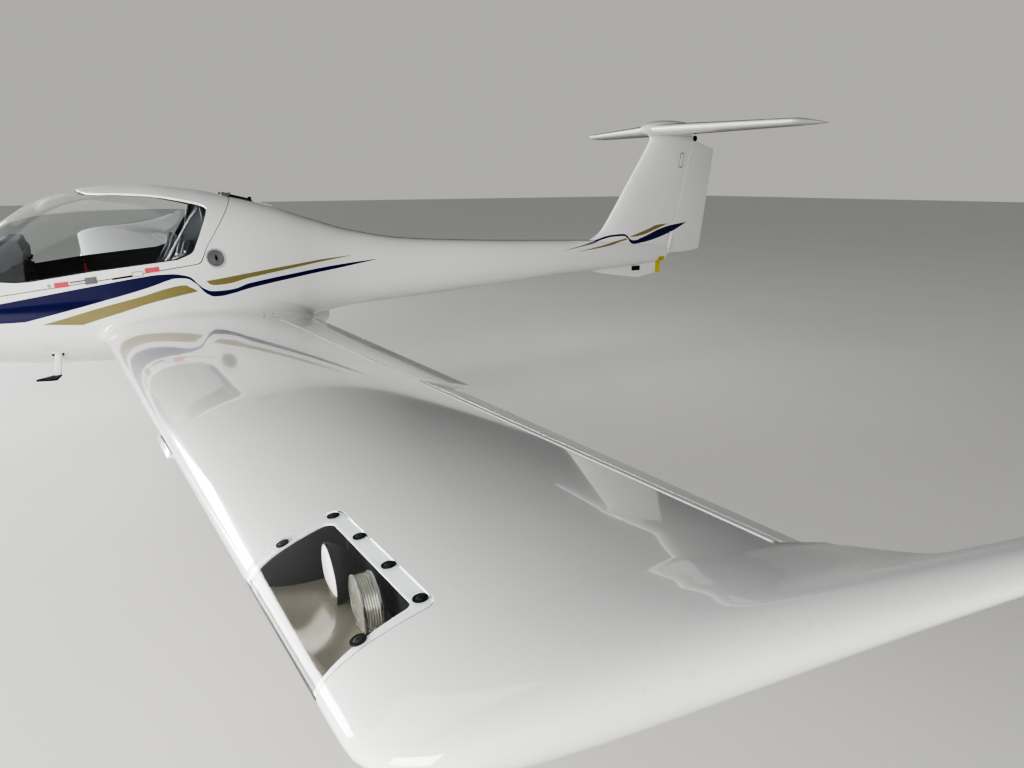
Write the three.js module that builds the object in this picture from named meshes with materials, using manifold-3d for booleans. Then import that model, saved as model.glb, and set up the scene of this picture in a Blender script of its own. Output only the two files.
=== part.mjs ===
// A two-seat light aircraft: low wing, T-tail, one large canopy hinged at its rear edge, fixed
// three-wheel landing gear with a castering nose wheel, and a two-blade propeller.
// Millimetres. +X points to the nose, +Y to the left wing, +Z up, and the floor is Z = 0.
// Stations are measured from the wing's leading edge at the centre line, and one shift at the
// end puts the origin at the middle of the whole length.
import * as THREE from 'three';
import { mergeVertices } from 'three/addons/utils/BufferGeometryUtils.js';
import Module from 'manifold-3d';

const wasm = await Module();
wasm.setup();

// Driving dimensions
const noseTip = 1880;
const tailTip = -5353;
const seat = 0.3; // gap between pieces that touch
const pinRadius = 5;
const pinDepth = 14;
const pinSides = 8;
const roundSides = 14;
const runningGap = 6; // gap between a moving surface and what it moves in
const halfSpan = 5435;
const dihedral = 0.0707;
const leadSweep = 0.0082;
const leadHeight = 710;
const rootChord = 1375;
const chordTaper = 0.1;
const stubEnd = 620;
const flapStart = 856;
const flapEnd = 3120;
const aileronStart = 3140;
const aileronEnd = 4779;
const panelEnd = 4790;
const aileronDroop = 10; // degrees that the left aileron hangs down and the right one stands up
const skin = 12;
const glassSkin = 5;
const firewallX = 890;
const propHeight = 1075;
const propRadius = 860;
const mainAxle = { x: -470, y: 950, z: 180, radius: 180, width: 126 };
const noseAxle = { x: 1310, y: 0, z: 168, radius: 168, width: 112 };
const casterX = 1405;

// Colours and finishes
function paint(colour, roughness, metalness = 0, opacity = 1) {
  return new THREE.MeshStandardMaterial({
    color: colour, roughness, metalness, opacity, transparent: opacity < 1, flatShading: true,
  });
}
const white = paint(0xf2f2ef, 0.2);
const black = paint(0x17181a, 0.6);
const grey = paint(0x5f6266, 0.6);
const steel = paint(0x9a9da0, 0.35, 1);
const rubber = paint(0x1b1b1b, 0.85);
const clear = paint(0xcfdde0, 0.05, 0, 0.35);
const cloth = paint(0x2e3138, 0.9);
const red = paint(0xa01818, 0.2);
const green = paint(0x156b33, 0.2);

// Geometry to solid and back
function solid(geometry) {
  const bare = geometry.clone();
  bare.deleteAttribute('normal');
  bare.deleteAttribute('uv');
  const merged = mergeVertices(bare, 0.001);
  return new wasm.Manifold(new wasm.Mesh({
    numProp: 3,
    vertProperties: new Float32Array(merged.getAttribute('position').array),
    triVerts: new Uint32Array(merged.index.array),
  }));
}

function geometryOf(body) {
  const mesh = body.getMesh();
  const geometry = new THREE.BufferGeometry();
  geometry.setAttribute('position', new THREE.BufferAttribute(mesh.vertProperties, 3));
  geometry.setIndex(new THREE.BufferAttribute(mesh.triVerts, 1));
  return geometry;
}

const aircraft = new THREE.Group();
function piece(name, body, material) {
  const geometry = body.isBufferGeometry ? body : geometryOf(body);
  geometry.computeVertexNormals();
  const mesh = new THREE.Mesh(geometry, material);
  mesh.name = name;
  aircraft.add(mesh);
}

function mirrored(body) {
  const geometry = geometryOf(body);
  geometry.scale(1, -1, 1);
  const index = geometry.getIndex();
  for (let i = 0; i < index.count; i += 3) {
    const second = index.getX(i + 1);
    index.setX(i + 1, index.getX(i + 2));
    index.setX(i + 2, second);
  }
  return solid(geometry);
}

// Basic shapes
function box(low, high) {
  const size = high.map((value, k) => value - low[k]);
  const middle = high.map((value, k) => (value + low[k]) / 2);
  return solid(new THREE.BoxGeometry(...size).translate(...middle));
}

function rod(from, to, radius, endRadius = radius, sides = roundSides) {
  const start = new THREE.Vector3(...from);
  const span = new THREE.Vector3(...to).sub(start);
  const turn = new THREE.Quaternion().setFromUnitVectors(
    new THREE.Vector3(0, 1, 0), span.clone().normalize());
  const geometry = new THREE.CylinderGeometry(endRadius, radius, span.length(), sides);
  geometry.applyQuaternion(turn);
  geometry.translate(...start.addScaledVector(span, 0.5).toArray());
  return solid(geometry);
}

// The radius of a hole in which a rod turns freely: the hole's flats clear the rod's corners
const boreFor = (radius, sides = roundSides) => (radius + seat) / Math.cos(Math.PI / sides);

// A side view outline in X and Z, spread between two values of Y
function sidePlate(outline, lowY, highY) {
  const shape = new THREE.Shape(outline.map(([x, z]) => new THREE.Vector2(x, z)));
  const geometry = new THREE.ExtrudeGeometry(shape, { depth: highY - lowY, bevelEnabled: false });
  geometry.rotateX(Math.PI / 2);
  geometry.translate(0, highY, 0);
  return solid(geometry);
}

// A plan view outline in X and Y, spread between two values of Z
function planPlate(outline, lowZ, highZ) {
  const shape = new THREE.Shape(outline.map(([x, y]) => new THREE.Vector2(x, y)));
  const geometry = new THREE.ExtrudeGeometry(shape, { depth: highZ - lowZ, bevelEnabled: false });
  geometry.translate(0, 0, lowZ);
  return solid(geometry);
}

// A closed tube whose rows of points are moved onto the sections that place() gives. Its angle
// starts at the cylinder's +Z and turns towards its +X, and is null at the middle of an end.
function loft(rows, columns, place) {
  const geometry = new THREE.CylinderGeometry(1, 1, 1, columns, rows - 1);
  const position = geometry.getAttribute('position');
  for (let i = 0; i < position.count; i += 1) {
    const row = Math.round((0.5 - position.getY(i)) * (rows - 1));
    const rim = Math.hypot(position.getX(i), position.getZ(i)) > 0.5;
    const angle = Math.atan2(position.getX(i), position.getZ(i));
    position.setXYZ(i, ...place(row, rim ? angle : null));
  }
  return solid(geometry);
}

function rounded(value, power) {
  return Math.sign(value) * Math.abs(value) ** (2 / power);
}

// A limb through a list of rows: middle point, half width along a fixed direction, half
// thickness across it. Power 2 gives an ellipse and more gives a rounded bar.
function limb(rows, wideAxis, power = 2, columns = 12) {
  const middles = rows.map((row) => new THREE.Vector3(...row.at));
  const wide = new THREE.Vector3(...wideAxis);
  return loft(rows.length, columns, (row, angle) => {
    const middle = middles[row].clone();
    if (angle === null) return middle.toArray();
    const before = middles[Math.max(row - 1, 0)];
    const after = middles[Math.min(row + 1, rows.length - 1)];
    const back = before.clone().sub(after).normalize();
    const thick = wide.clone().cross(back).normalize();
    middle.addScaledVector(wide, rows[row].wide * rounded(Math.sin(angle), power));
    middle.addScaledVector(thick, rows[row].thick * rounded(Math.cos(angle), power));
    return middle.toArray();
  });
}

function pipe(points, radius, steps = 6) {
  const path = new THREE.CatmullRomCurve3(points.map((point) => new THREE.Vector3(...point)));
  const ring = new THREE.Shape().absarc(0, 0, radius, 0, 2 * Math.PI);
  return solid(new THREE.ExtrudeGeometry(ring, {
    steps, extrudePath: path, bevelEnabled: false, curveSegments: 6,
  }));
}

// Fuselage sections: station, top, bottom, half width, height of the widest line
const stations = [
  [1608, 1160, 950, 130, 1048],
  [1600, 1184, 905, 185, 1044],
  [1586, 1200, 866, 236, 1038],
  [1556, 1213, 834, 284, 1032],
  [1480, 1226, 785, 342, 1022],
  [1300, 1233, 705, 430, 1005],
  [1100, 1236, 657, 490, 985],
  [890, 1237, 624, 530, 965],
  [700, 1245, 603, 552, 950],
  [600, 1304, 594, 560, 942],
  [442, 1415, 576, 570, 930],
  [273, 1523, 553, 578, 918],
  [120, 1581, 541, 583, 910],
  [-100, 1621, 530, 587, 904],
  [-345, 1632, 519, 580, 902],
  [-600, 1607, 520, 556, 906],
  [-860, 1557, 545, 505, 925],
  [-1160, 1479, 625, 420, 965],
  [-1400, 1398, 704, 345, 985],
  [-1700, 1305, 748, 280, 995],
  [-2116, 1229, 768, 228, 998],
  [-2600, 1193, 793, 195, 1000],
  [-3100, 1168, 820, 170, 1002],
  [-3500, 1152, 847, 150, 1003],
  [-3900, 1136, 864, 128, 1003],
  [-4400, 1110, 885, 92, 1002],
  [-4785, 1075, 915, 52, 1000],
];
const fuselagePower = 2.25;

function fuselageAt(x) {
  let k = 1;
  while (k < stations.length - 1 && stations[k][0] > x) k += 1;
  const [front, back] = [stations[k - 1], stations[k]];
  const t = (front[0] - x) / (front[0] - back[0]);
  return front.map((value, column) => value + (back[column] - value) * t);
}

function fuselageLoft(grow, columns = 24, from = stations[0][0], to = stations.at(-1)[0]) {
  const inside = stations.map((row) => row[0]).filter((x) => x < from - 1 && x > to + 1);
  const rows = [from, ...inside, to].map((x) => fuselageAt(x));
  return loft(rows.length, columns, (row, angle) => {
    const [x, top, bottom, half, widest] = rows[row];
    if (angle === null) return [x, 0, widest];
    const height = Math.sin(angle) > 0 ? top - widest + grow : widest - bottom + grow;
    return [
      x,
      (half + grow) * rounded(Math.cos(angle), fuselagePower),
      widest + height * rounded(Math.sin(angle), fuselagePower),
    ];
  });
}

// Wing section: half thickness and camber as shares of the chord
const wingThickness = 0.137;
const wingCamber = 0.02;
const camberPlace = 0.45;

function halfThickness(u, thickness) {
  return 5 * thickness * (0.2969 * Math.sqrt(u) - 0.126 * u - 0.3516 * u ** 2
    + 0.2843 * u ** 3 - 0.1036 * u ** 4);
}

function camber(u, height) {
  if (u < camberPlace) return (height / camberPlace ** 2) * (2 * camberPlace * u - u * u);
  const rest = (1 - camberPlace) ** 2;
  return (height / rest) * (1 - 2 * camberPlace + 2 * camberPlace * u - u * u);
}

const chordAt = (y) => rootChord - chordTaper * y;
const leadX = (y) => -leadSweep * y;
const leadZ = (y) => leadHeight + dihedral * y;
const trailDrop = 0.0152; // how far the trailing edge lies below the leading edge, per chord

// Wing tip rows: leading edge X and Y, trailing edge X and Y, rise above the wing's line, and
// thickness as a share of the chord
const tipRows = [
  [-41, 4868, -968, 4838, 1, 0.135],
  [-60, 4928, -980, 4880, 7, 0.13],
  [-112, 4974, -998, 4925, 14, 0.125],
  [-205, 5008, -1030, 4965, 24, 0.12],
  [-420, 5062, -1085, 5015, 45, 0.115],
  [-690, 5130, -1150, 5085, 78, 0.11],
  [-920, 5212, -1212, 5185, 120, 0.105],
  [-1110, 5320, -1265, 5310, 172, 0.1],
  [-1238, 5432, -1290, halfSpan, 225, 0.1],
];

function wingRow(y) {
  return { lead: [leadX(y), y], trail: [leadX(y) - chordAt(y), y], rise: 0, thickness: wingThickness };
}
const tipSections = tipRows.map(([leadXAt, leadY, trailX, trailY, rise, thickness]) => (
  { lead: [leadXAt, leadY], trail: [trailX, trailY], rise, thickness }));

// One wing, from the inner to the outer row, with its surface moved in by shrink
function wingLoft(sections, shrink = 0, columns = 20) {
  const rows = [...sections].reverse();
  return loft(rows.length, columns, (row, angle) => {
    const { lead, trail, rise, thickness } = rows[row];
    const chord = Math.hypot(lead[0] - trail[0], lead[1] - trail[1]);
    const u = angle === null ? 0.5 : (1 - Math.sin(angle)) / 2;
    const side = angle === null ? 0 : Math.sign(Math.round(Math.cos(angle) * 1e6));
    const inset = Math.min(shrink, chord * halfThickness(u, thickness) * 0.9);
    const y = lead[1] + (trail[1] - lead[1]) * u;
    const lift = camber(u, wingCamber) * chord
      + side * (chord * halfThickness(u, thickness) - inset) - trailDrop * chord * u;
    return [lead[0] + (trail[0] - lead[0]) * u - shrink * (1 - 2 * u), y, leadZ(y) + rise + lift];
  });
}

// A surface that turns about a line. It has a round nose about the line and ends square to it,
// and the fixed part is cut back around it.
function hinged(body, inner, outer, innerRadius, outerRadius, reach, innerPin = true) {
  const start = new THREE.Vector3(...inner);
  const end = new THREE.Vector3(...outer);
  const along = end.clone().sub(start).normalize();
  const aft = new THREE.Vector3(-1, 0, 0);
  aft.addScaledVector(along, -aft.dot(along)).normalize();
  const across = along.clone().cross(aft);
  const length = start.distanceTo(end);
  const behind = (gap) => {
    const geometry = new THREE.BoxGeometry(length + 2 * gap, reach, 400);
    const middle = start.clone().add(end).multiplyScalar(0.5).addScaledVector(aft, reach / 2);
    geometry.applyMatrix4(new THREE.Matrix4().makeBasis(along, aft, across).setPosition(middle));
    return solid(geometry);
  };
  const nose = (gap) => {
    const from = start.clone().addScaledVector(along, -gap);
    const to = end.clone().addScaledVector(along, gap);
    return rod(from.toArray(), to.toArray(), innerRadius + gap, outerRadius + gap, 20);
  };
  // A hinge pin at each end, fixed in the end wall and free in the moving surface
  const ends = innerPin ? [[start, 1], [end, -1]] : [[end, -1]];
  const pins = (radius, deep) => ends.map(([point, way]) => {
    const from = point.clone().addScaledVector(along, -way * (runningGap + 5));
    const to = point.clone().addScaledVector(along, way * deep);
    return rod(from.toArray(), to.toArray(), radius, radius, pinSides);
  });
  const add = (sum, part) => sum.add(part);
  const cut = (sum, part) => sum.subtract(part);
  return {
    moving: pins(boreFor(pinRadius, pinSides), pinDepth + seat)
      .reduce(cut, body.intersect(behind(0)).add(nose(0))),
    fixed: pins(pinRadius, pinDepth).reduce(
      add, body.subtract(behind(runningGap)).subtract(nose(runningGap))),
    cove: behind(runningGap).add(nose(runningGap)),
  };
}

// Hinge line of the flap and aileron: chord ahead of the line, and the section's middle there
const hingeChordStart = 985;
const hingeTaper = 0.0465;
function wingHinge(y) {
  const ahead = hingeChordStart - hingeTaper * (y - 618);
  const u = ahead / chordAt(y);
  const z = leadZ(y) + chordAt(y) * (camber(u, wingCamber) - trailDrop * u);
  return { at: [leadX(y) - ahead, y, z], radius: chordAt(y) * halfThickness(u, wingThickness) * 0.97 };
}

// A solid turned about the hinge line of a wing surface, with positive angles moving it up
function turnedSurface(body, startY, endY, degrees) {
  const start = new THREE.Vector3(...wingHinge(startY).at);
  const along = new THREE.Vector3(...wingHinge(endY).at).sub(start).normalize();
  const turn = new THREE.Matrix4().makeRotationAxis(along, THREE.MathUtils.degToRad(degrees));
  const geometry = geometryOf(body).translate(-start.x, -start.y, -start.z);
  return solid(geometry.applyMatrix4(turn).translate(start.x, start.y, start.z));
}

function wingSurface(body, startY, endY) {
  const inner = wingHinge(startY);
  const outer = wingHinge(endY);
  return hinged(body, inner.at, outer.at, inner.radius, outer.radius, 520);
}

// Wings, flaps, ailerons, landing light and tip lights
const tieDownY = 3150;
function makeWings() {
  const panelRows = [stubEnd + seat, 1800, flapEnd, panelEnd].map(wingRow);
  const whole = wingLoft([...panelRows, ...tipSections]);
  const flap = wingSurface(whole, flapStart, flapEnd);
  const aileron = wingSurface(flap.fixed, aileronStart, aileronEnd);
  const lug = box([leadX(tieDownY) - 430, tieDownY - 15, leadZ(tieDownY) - 75],
    [leadX(tieDownY) - 370, tieDownY + 15, leadZ(tieDownY)]);
  const strip = rod([leadX(3080) + 6, 3080, leadZ(3080) - 4],
    [leadX(3270) + 6, 3270, leadZ(3270) - 4], 18, 18, 3);
  const aileronAt = (degrees) => turnedSurface(aileron.moving, aileronStart, aileronEnd, degrees);
  return {
    wing: aileron.fixed.add(lug).add(strip),
    flap: flap.moving,
    aileronLeft: aileronAt(-aileronDroop),
    aileronRight: mirrored(aileronAt(aileronDroop)),
  };
}

const lightInner = 4345;
const lightOuter = 4735;
const lightAft = 250;
function lightBox(gap) {
  return box([-lightAft - 40 - gap, lightInner - gap, leadZ(lightInner) - 160],
    [120, lightOuter + gap, leadZ(lightOuter) + 160]);
}

const { wing, flap, aileronLeft, aileronRight } = makeWings();
const pocketFloor = box([-lightAft - 40, lightInner - 1, leadZ(lightInner) - 160],
  [-lightAft + 30, lightOuter + 1, leadZ(lightOuter) + 160]);
const lightRows = [4200, panelEnd].map(wingRow);
const pocket = lightBox(0).subtract(pocketFloor);
const cover = wingLoft(lightRows).subtract(wingLoft(lightRows, 4))
  .intersect(box([-lightAft + 40, lightInner + seat, 800], [120, lightOuter - seat, 1300]));
const lampMiddle = (lightInner + lightOuter) / 2;
function makeLamps() {
  const z = leadZ(lampMiddle) + 6;
  const bar = box([-200, lightInner + 20, z - 8], [-190, lightOuter - 20, z + 22]);
  const seatRod = rod([-lightAft + 30 + seat, lampMiddle, z], [-195, lampMiddle, z], 12);
  const lamps = [-92, 92].map((offset) => (
    rod([-195, lampMiddle + offset, z], [-130, lampMiddle + offset, z], 22, 32)));
  return lamps.reduce((sum, lamp) => sum.add(lamp), bar.add(seatRod));
}
const leftWing = wing.subtract(pocket.subtract(box([-2000, 4000, 0], [-lightAft + 30, 5000, 2000])));
piece('wing_left', leftWing, white);
piece('wing_right', mirrored(wing), white);
piece('landing_light_cover', cover, clear);
piece('landing_lamps', makeLamps(), steel);
piece('flap_left', flap, white);
piece('flap_right', mirrored(flap), white);
piece('aileron_left', aileronLeft, white);
piece('aileron_right', aileronRight, white);

const tipLight = limb([
  { at: [-1190, 5345, leadZ(5345) + 184], wide: 13, thick: 20 },
  { at: [-1163, 5372, leadZ(5372) + 185], wide: 12, thick: 19 },
  { at: [-1146, 5389, leadZ(5389) + 185], wide: 9, thick: 14 },
  { at: [-1140, 5395, leadZ(5395) + 185], wide: 4, thick: 6 },
], [0, 0, 1]).subtract(wing).subtract(wingLoft(
  [wingRow(panelEnd), ...tipSections], -seat));
piece('tip_light_left', tipLight, red);
piece('tip_light_right', mirrored(tipLight), green);

// Fin, rudder, tailplane and elevator. Fin rows: height, leading edge X, trailing edge X
const finRows = [
  [2040, -4572, -5366],
  [1985, -4560, -5359],
  [1600, -4308, -5310],
  [1300, -4109, -5271],
  [1215, -4045, -5260],
  [1145, -3935, -5251],
  [1110, -3840, -5247],
  [1000, -3740, -5232],
];
function uprightLoft(rows, thickness) {
  return loft(rows.length, 20, (row, angle) => {
    const [z, leadAt, trailAt] = rows[row];
    const u = angle === null ? 0.5 : (1 - Math.cos(angle)) / 2;
    const side = angle === null ? 0 : Math.sign(Math.round(Math.sin(angle) * 1e6));
    const chord = leadAt - trailAt;
    return [leadAt - chord * u, side * chord * halfThickness(u, thickness), z];
  });
}
const finThickness = 0.1;
const finTop = 2040;
const rudderHinge = { low: [-4812, 0, 975], high: [-5062, 0, 2006] };
const finWhole = uprightLoft(finRows, finThickness);
function finHalf(z) {
  const lead = -4000 - (z - 1135) * 0.663;
  const trail = -5250 - (z - 1135) * 0.128;
  const hingeX = -4812 - (z - 975) * 0.2425;
  return (lead - trail) * halfThickness((lead - hingeX) / (lead - trail), finThickness) * 0.97;
}
const rudderParts = hinged(finWhole, rudderHinge.low, rudderHinge.high, finHalf(975), finHalf(2006), 560);
const rudderLower = sidePlate([[-4780, 900], [-5300, 900], [-5300, 1012], [-4815, 962]], -200, 200);
const rudder = rudderParts.moving.subtract(rudderLower);
const rudderBracket = box([-4830, -14, 935], [-4740, 14, 968]);
const fin = rudderParts.fixed
  .subtract(sidePlate([[-5110, 900], [-5500, 900], [-5500, 2100], [-5110, 2100]], -200, 200))
  .add(rudderBracket);
piece('rudder', rudder, white);

// Tailplane rows: Y, leading edge X, trailing edge X
const tailHeight = 2090;
const tailHalfSpan = 1355;
const tailRows = [
  [tailHalfSpan, -4885, -5250],
  [tailHalfSpan - 45, -4835, -5290],
  [0, -4506, -5290],
  [-tailHalfSpan + 45, -4835, -5290],
  [-tailHalfSpan, -4885, -5250],
];
const tailThickness = 0.125;
const tailWhole = loft(tailRows.length, 20, (row, angle) => {
  const [y, leadAt, trailAt] = tailRows[row];
  const u = angle === null ? 0.5 : (1 - Math.sin(angle)) / 2;
  const side = angle === null ? 0 : Math.sign(Math.round(Math.cos(angle) * 1e6));
  const chord = leadAt - trailAt;
  return [leadAt - chord * u, y, tailHeight + side * chord * halfThickness(u, tailThickness)];
});
const elevatorHingeX = -5075;
const elevatorEnd = 1300;
const elevatorRadius = 0.97 * 784 * halfThickness((4506 - 5075) / (4506 - 5290), tailThickness);
function elevatorHalf(y) {
  const lead = -4506 - 0.2514 * y;
  return (lead + 5290) * halfThickness((lead - elevatorHingeX) / (lead + 5290), tailThickness) * 0.97;
}
const elevatorLeft = hinged(tailWhole, [elevatorHingeX, 0, tailHeight], [elevatorHingeX, elevatorEnd, tailHeight],
  elevatorRadius, elevatorHalf(elevatorEnd), 300, false);
const elevatorBoth = hinged(elevatorLeft.fixed, [elevatorHingeX, 0, tailHeight],
  [elevatorHingeX, -elevatorEnd, tailHeight], elevatorRadius, elevatorHalf(elevatorEnd), 300, false);
const elevator = elevatorLeft.moving.add(mirrored(elevatorLeft.moving));
const pod = limb([
  { at: [-4446, 0, 2086], wide: 12, thick: 10 },
  { at: [-4500, 0, 2090], wide: 56, thick: 42 },
  { at: [-4620, 0, 2094], wide: 92, thick: 67 },
  { at: [-4780, 0, 2095], wide: 108, thick: 76 },
  { at: [-4950, 0, 2093], wide: 96, thick: 71 },
  { at: [-5020, 0, 2091], wide: 84, thick: 64 },
], [0, 1, 0]).subtract(box([-5200, -200, 1900], [-4300, 200, finTop + seat]));
piece('horizontal_stabilizer', elevatorBoth.fixed.add(pod), white);
piece('elevator', elevator, white);

// Fuselage shell, with the stub wings and the fin, the canopy opening cut out
const canopyHinge = [-862, 1566];
const sillAft = [-560, 1158];
const sillFront = [firewallX - 8, 992];
function canopySide(gap) {
  return [
    [canopyHinge[0] - gap * 1.3, canopyHinge[1] + 60],
    [canopyHinge[0] - gap * 1.3, canopyHinge[1] - 20],
    [sillAft[0] - 75 - gap, sillAft[1] + 100],
    [sillAft[0] - 40 - gap, sillAft[1] + 30 - gap],
    [sillAft[0] + 15, sillAft[1] - gap],
    [sillFront[0] + gap, sillFront[1] - gap],
    [sillFront[0] + gap, 1700],
    [canopyHinge[0] - gap * 1.3, 1700],
  ];
}
const rearWall = 14;
const outerSkin = fuselageLoft(0);
const stub = wingLoft([wingRow(330), wingRow(stubEnd)]);
const cavity = fuselageLoft(-skin, 20, firewallX - rearWall, -4300);
const fuselage = outerSkin
  .subtract(box([firewallX, -900, 0], [2500, 900, 2500]))
  .add(stub).add(mirrored(stub)).subtract(rudderParts.cove).add(fin)
  .subtract(cavity)
  .subtract(sidePlate(canopySide(0), -900, 900));

// Canopy: white frame and roof strip, and clear glass set into it
const canopyGap = 5;
const canopyBlock = sidePlate(canopySide(-canopyGap), -900, 900);
const canopySkin = outerSkin.subtract(fuselageLoft(-skin)).intersect(canopyBlock);
const glassSide = [
  [742, 1800], [742, 1262], [700, 1214], [640, 1172], [560, 1139], [461, 1113], [331, 1107],
  [23, 1146], [-368, 1181], [-459, 1190], [-501, 1205], [-557, 1264], [-690, 1497], [-700, 1800],
];
const roofHalf = [[18, 90], [0, 155], [-25, 205], [-90, 232], [-260, 258], [-386, 275], [-614, 298],
  [-660, 308], [-686, 350], [-900, 350]];
const roofStrip = planPlate([[25, 0], ...roofHalf, ...[...roofHalf].reverse().map(([x, y]) => [x, -y])],
  1380, 1800);
const glassBlock = sidePlate(glassSide, -900, 900).subtract(roofStrip);
const glassMiddle = [100, 1400];
const glassShrink = 0.9993;
const glassInner = sidePlate(glassSide.map((point) => point.map(
  (value, k) => glassMiddle[k] + (value - glassMiddle[k]) * glassShrink)), -900, 900)
  .subtract(solid(geometryOf(roofStrip).scale(1, 1.001, 1)));
const canopyFrame = canopySkin.subtract(glassBlock);
const glass = outerSkin.subtract(fuselageLoft(-glassSkin)).intersect(glassInner).intersect(canopyBlock);
const [lugX, lugZ] = canopyHinge;
function hingeAt(side) {
  const across = (from, to, radius) => (
    rod([lugX, side * from, lugZ], [lugX, side * to, lugZ], radius));
  const block = (from, to, lowX, highX, depth) => box(
    [lugX + lowX, Math.min(side * from, side * to), lugZ - depth],
    [lugX + highX, Math.max(side * from, side * to), lugZ + 6]);
  return {
    moving: across(60, 90, 10).add(block(60, 90, 0, 34, 30)),
    hole: across(55, 95, boreFor(pinRadius)),
    fixed: across(96, 122, 11).add(block(96, 122, -34, -4, 34)).add(across(64, 110, pinRadius)),
    notch: across(54, 96, 16).add(block(54, 96, -8, 20, 40)),
  };
}
const hinges = [1, -1].map(hingeAt);
const hingedShell = hinges.reduce((sum, part) => sum.subtract(part.notch).add(part.fixed), fuselage);
piece('fuselage', hingedShell, white);
const canopyMoving = hinges.reduce((sum, part) => sum.add(part.moving).subtract(part.hole), canopyFrame);
piece('canopy_frame', canopyMoving, white);
piece('canopy_glass', glass, clear);

// Cowling halves, engine block and exhaust
const cowlSkin = 8;
const cowlFront = stations[0][0];
const cowlSplit = 1012;
function makeCowling() {
  const shell = outerSkin
    .subtract(box([-6000, -900, 0], [firewallX + seat, 900, 2500]))
    .subtract(fuselageLoft(-cowlSkin, 24, cowlFront - cowlSkin, firewallX - 100));
  const intakes = [-150, 150].map((y) => rod([cowlFront - 60, y, 1060], [cowlFront + 20, y, 1060], 52));
  const shaftHole = rod([cowlFront - 60, 0, propHeight], [cowlFront + 20, 0, propHeight], 75);
  const outlet = box([firewallX - 1, -150, 500], [firewallX + 90, 150, 700]);
  const cut = [...intakes, shaftHole, outlet].reduce((sum, hole) => sum.subtract(hole), shell);
  const upperHalf = box([800, -900, cowlSplit + seat], [1700, 900, 1500]);
  const lowerHalf = box([800, -900, 400], [1700, 900, cowlSplit]);
  return [cut.intersect(upperHalf), cut.intersect(lowerHalf)];
}
const [cowlUpper, cowlLower] = makeCowling();
piece('cowling_upper', cowlUpper, white);
piece('cowling_lower', cowlLower, white);

const engineHalf = 250;
const engineBottom = 845;
const shaftEnd = 1700;
const shaftRadius = 20;
const engineBlock = box([firewallX + seat, -engineHalf, engineBottom], [1430, engineHalf, 1130])
  .add(rod([1430, 0, propHeight], [1628, 0, propHeight], 48))
  .add(rod([1620, 0, propHeight], [shaftEnd, 0, propHeight], shaftRadius));
piece('engine_block', engineBlock, grey);
const exhaust = pipe([[950, -90, 870], [950, -90, 740], [945, -90, 640], [925, -90, 585]], 24)
  .subtract(box([firewallX, -engineHalf, engineBottom - seat], [1440, engineHalf, 1130]));
piece('exhaust_pipe', exhaust, steel);

// Propeller with its hub, and the spinner around it
const bladeX = 1695;
const spinnerBore = 118;
const spinnerSides = 20;
const bladeRows = [
  // radius, half width, half thickness, twist in degrees
  [60, 34, 34, 50],
  [150, 46, 24, 46],
  [300, 66, 15, 36],
  [480, 70, 10, 27],
  [660, 62, 7, 21],
  [800, 48, 5, 18],
  [845, 30, 4, 17],
  [propRadius, 12, 3, 17],
];
function makeBlade() {
  const rows = [...bladeRows].reverse();
  return loft(rows.length, 10, (row, angle) => {
    const [radius, half, thick, twist] = rows[row];
    const a = angle ?? 0;
    const reach = angle === null ? 0 : 1;
    const along = half * Math.sin(a) * reach;
    const across = -thick * Math.cos(a) * reach;
    const turn = THREE.MathUtils.degToRad(twist);
    return [
      bladeX + along * Math.sin(turn) + across * Math.cos(turn),
      radius,
      propHeight + along * Math.cos(turn) - across * Math.sin(turn),
    ];
  });
}
const blade = makeBlade();
const oppositeBlade = solid(geometryOf(blade)
  .translate(0, 0, -propHeight).rotateX(Math.PI).translate(0, 0, propHeight));
const hub = rod([1652, 0, propHeight], [1740, 0, propHeight], 82)
  .add(rod([1634, 0, propHeight], [1653, 0, propHeight], spinnerBore, spinnerBore, spinnerSides))
  .subtract(rod([1600, 0, propHeight], [shaftEnd + 5, 0, propHeight], boreFor(shaftRadius)));
piece('propeller', blade.add(oppositeBlade).add(hub), black);
const spinnerLine = [
  [0, 246], [45, 236], [80, 205], [108, 150], [125, 80], [130, 0],
  [spinnerBore + seat, 0], [spinnerBore + seat, 70], [97, 145], [70, 195], [38, 224], [0, 232],
];
function makeSpinner() {
  const line = spinnerLine.map(([radius, forward]) => new THREE.Vector2(radius, forward));
  const geometry = new THREE.LatheGeometry([...line, line[0].clone()].reverse(), spinnerSides);
  geometry.rotateZ(-Math.PI / 2);
  geometry.translate(1634, 0, propHeight);
  const slot = box([1640, -160, propHeight - 62], [1752, 160, propHeight + 62]);
  return solid(geometry).subtract(slot);
}
piece('spinner', makeSpinner(), white);

// Wheels. Tyre and rim outlines: radius share or millimetres, and place across the wheel
function lathe(outline, at, sides) {
  const line = outline.map(([radius, across]) => new THREE.Vector2(radius, across));
  const geometry = new THREE.LatheGeometry([...line, line[0].clone()], sides);
  geometry.translate(at.x, at.y, at.z);
  return solid(geometry);
}
const rimRadius = 76;
const axleRadius = 15;
const rimSides = 16;
function tyreOutline({ radius, width }) {
  const half = width / 2;
  const side = radius - rimRadius;
  return [
    [rimRadius + 2, -half * 0.78], [rimRadius + side * 0.45, -half], [rimRadius + side * 0.8, -half * 0.86],
    [radius, -half * 0.36], [radius, half * 0.36], [rimRadius + side * 0.8, half * 0.86],
    [rimRadius + side * 0.45, half], [rimRadius + 2, half * 0.78],
  ];
}
function rimOutline({ width }) {
  const half = width / 2;
  const flange = half * 0.78;
  const bore = boreFor(axleRadius, rimSides);
  return [
    [bore, -half * 0.7], [30, -half * 0.7], [32, -14], [62, -12], [66, -flange],
    [rimRadius + 1.4, -flange], [rimRadius + 1.4, flange],
    [66, flange], [62, 12], [32, 14], [30, half * 0.7], [bore, half * 0.7],
  ];
}
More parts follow.
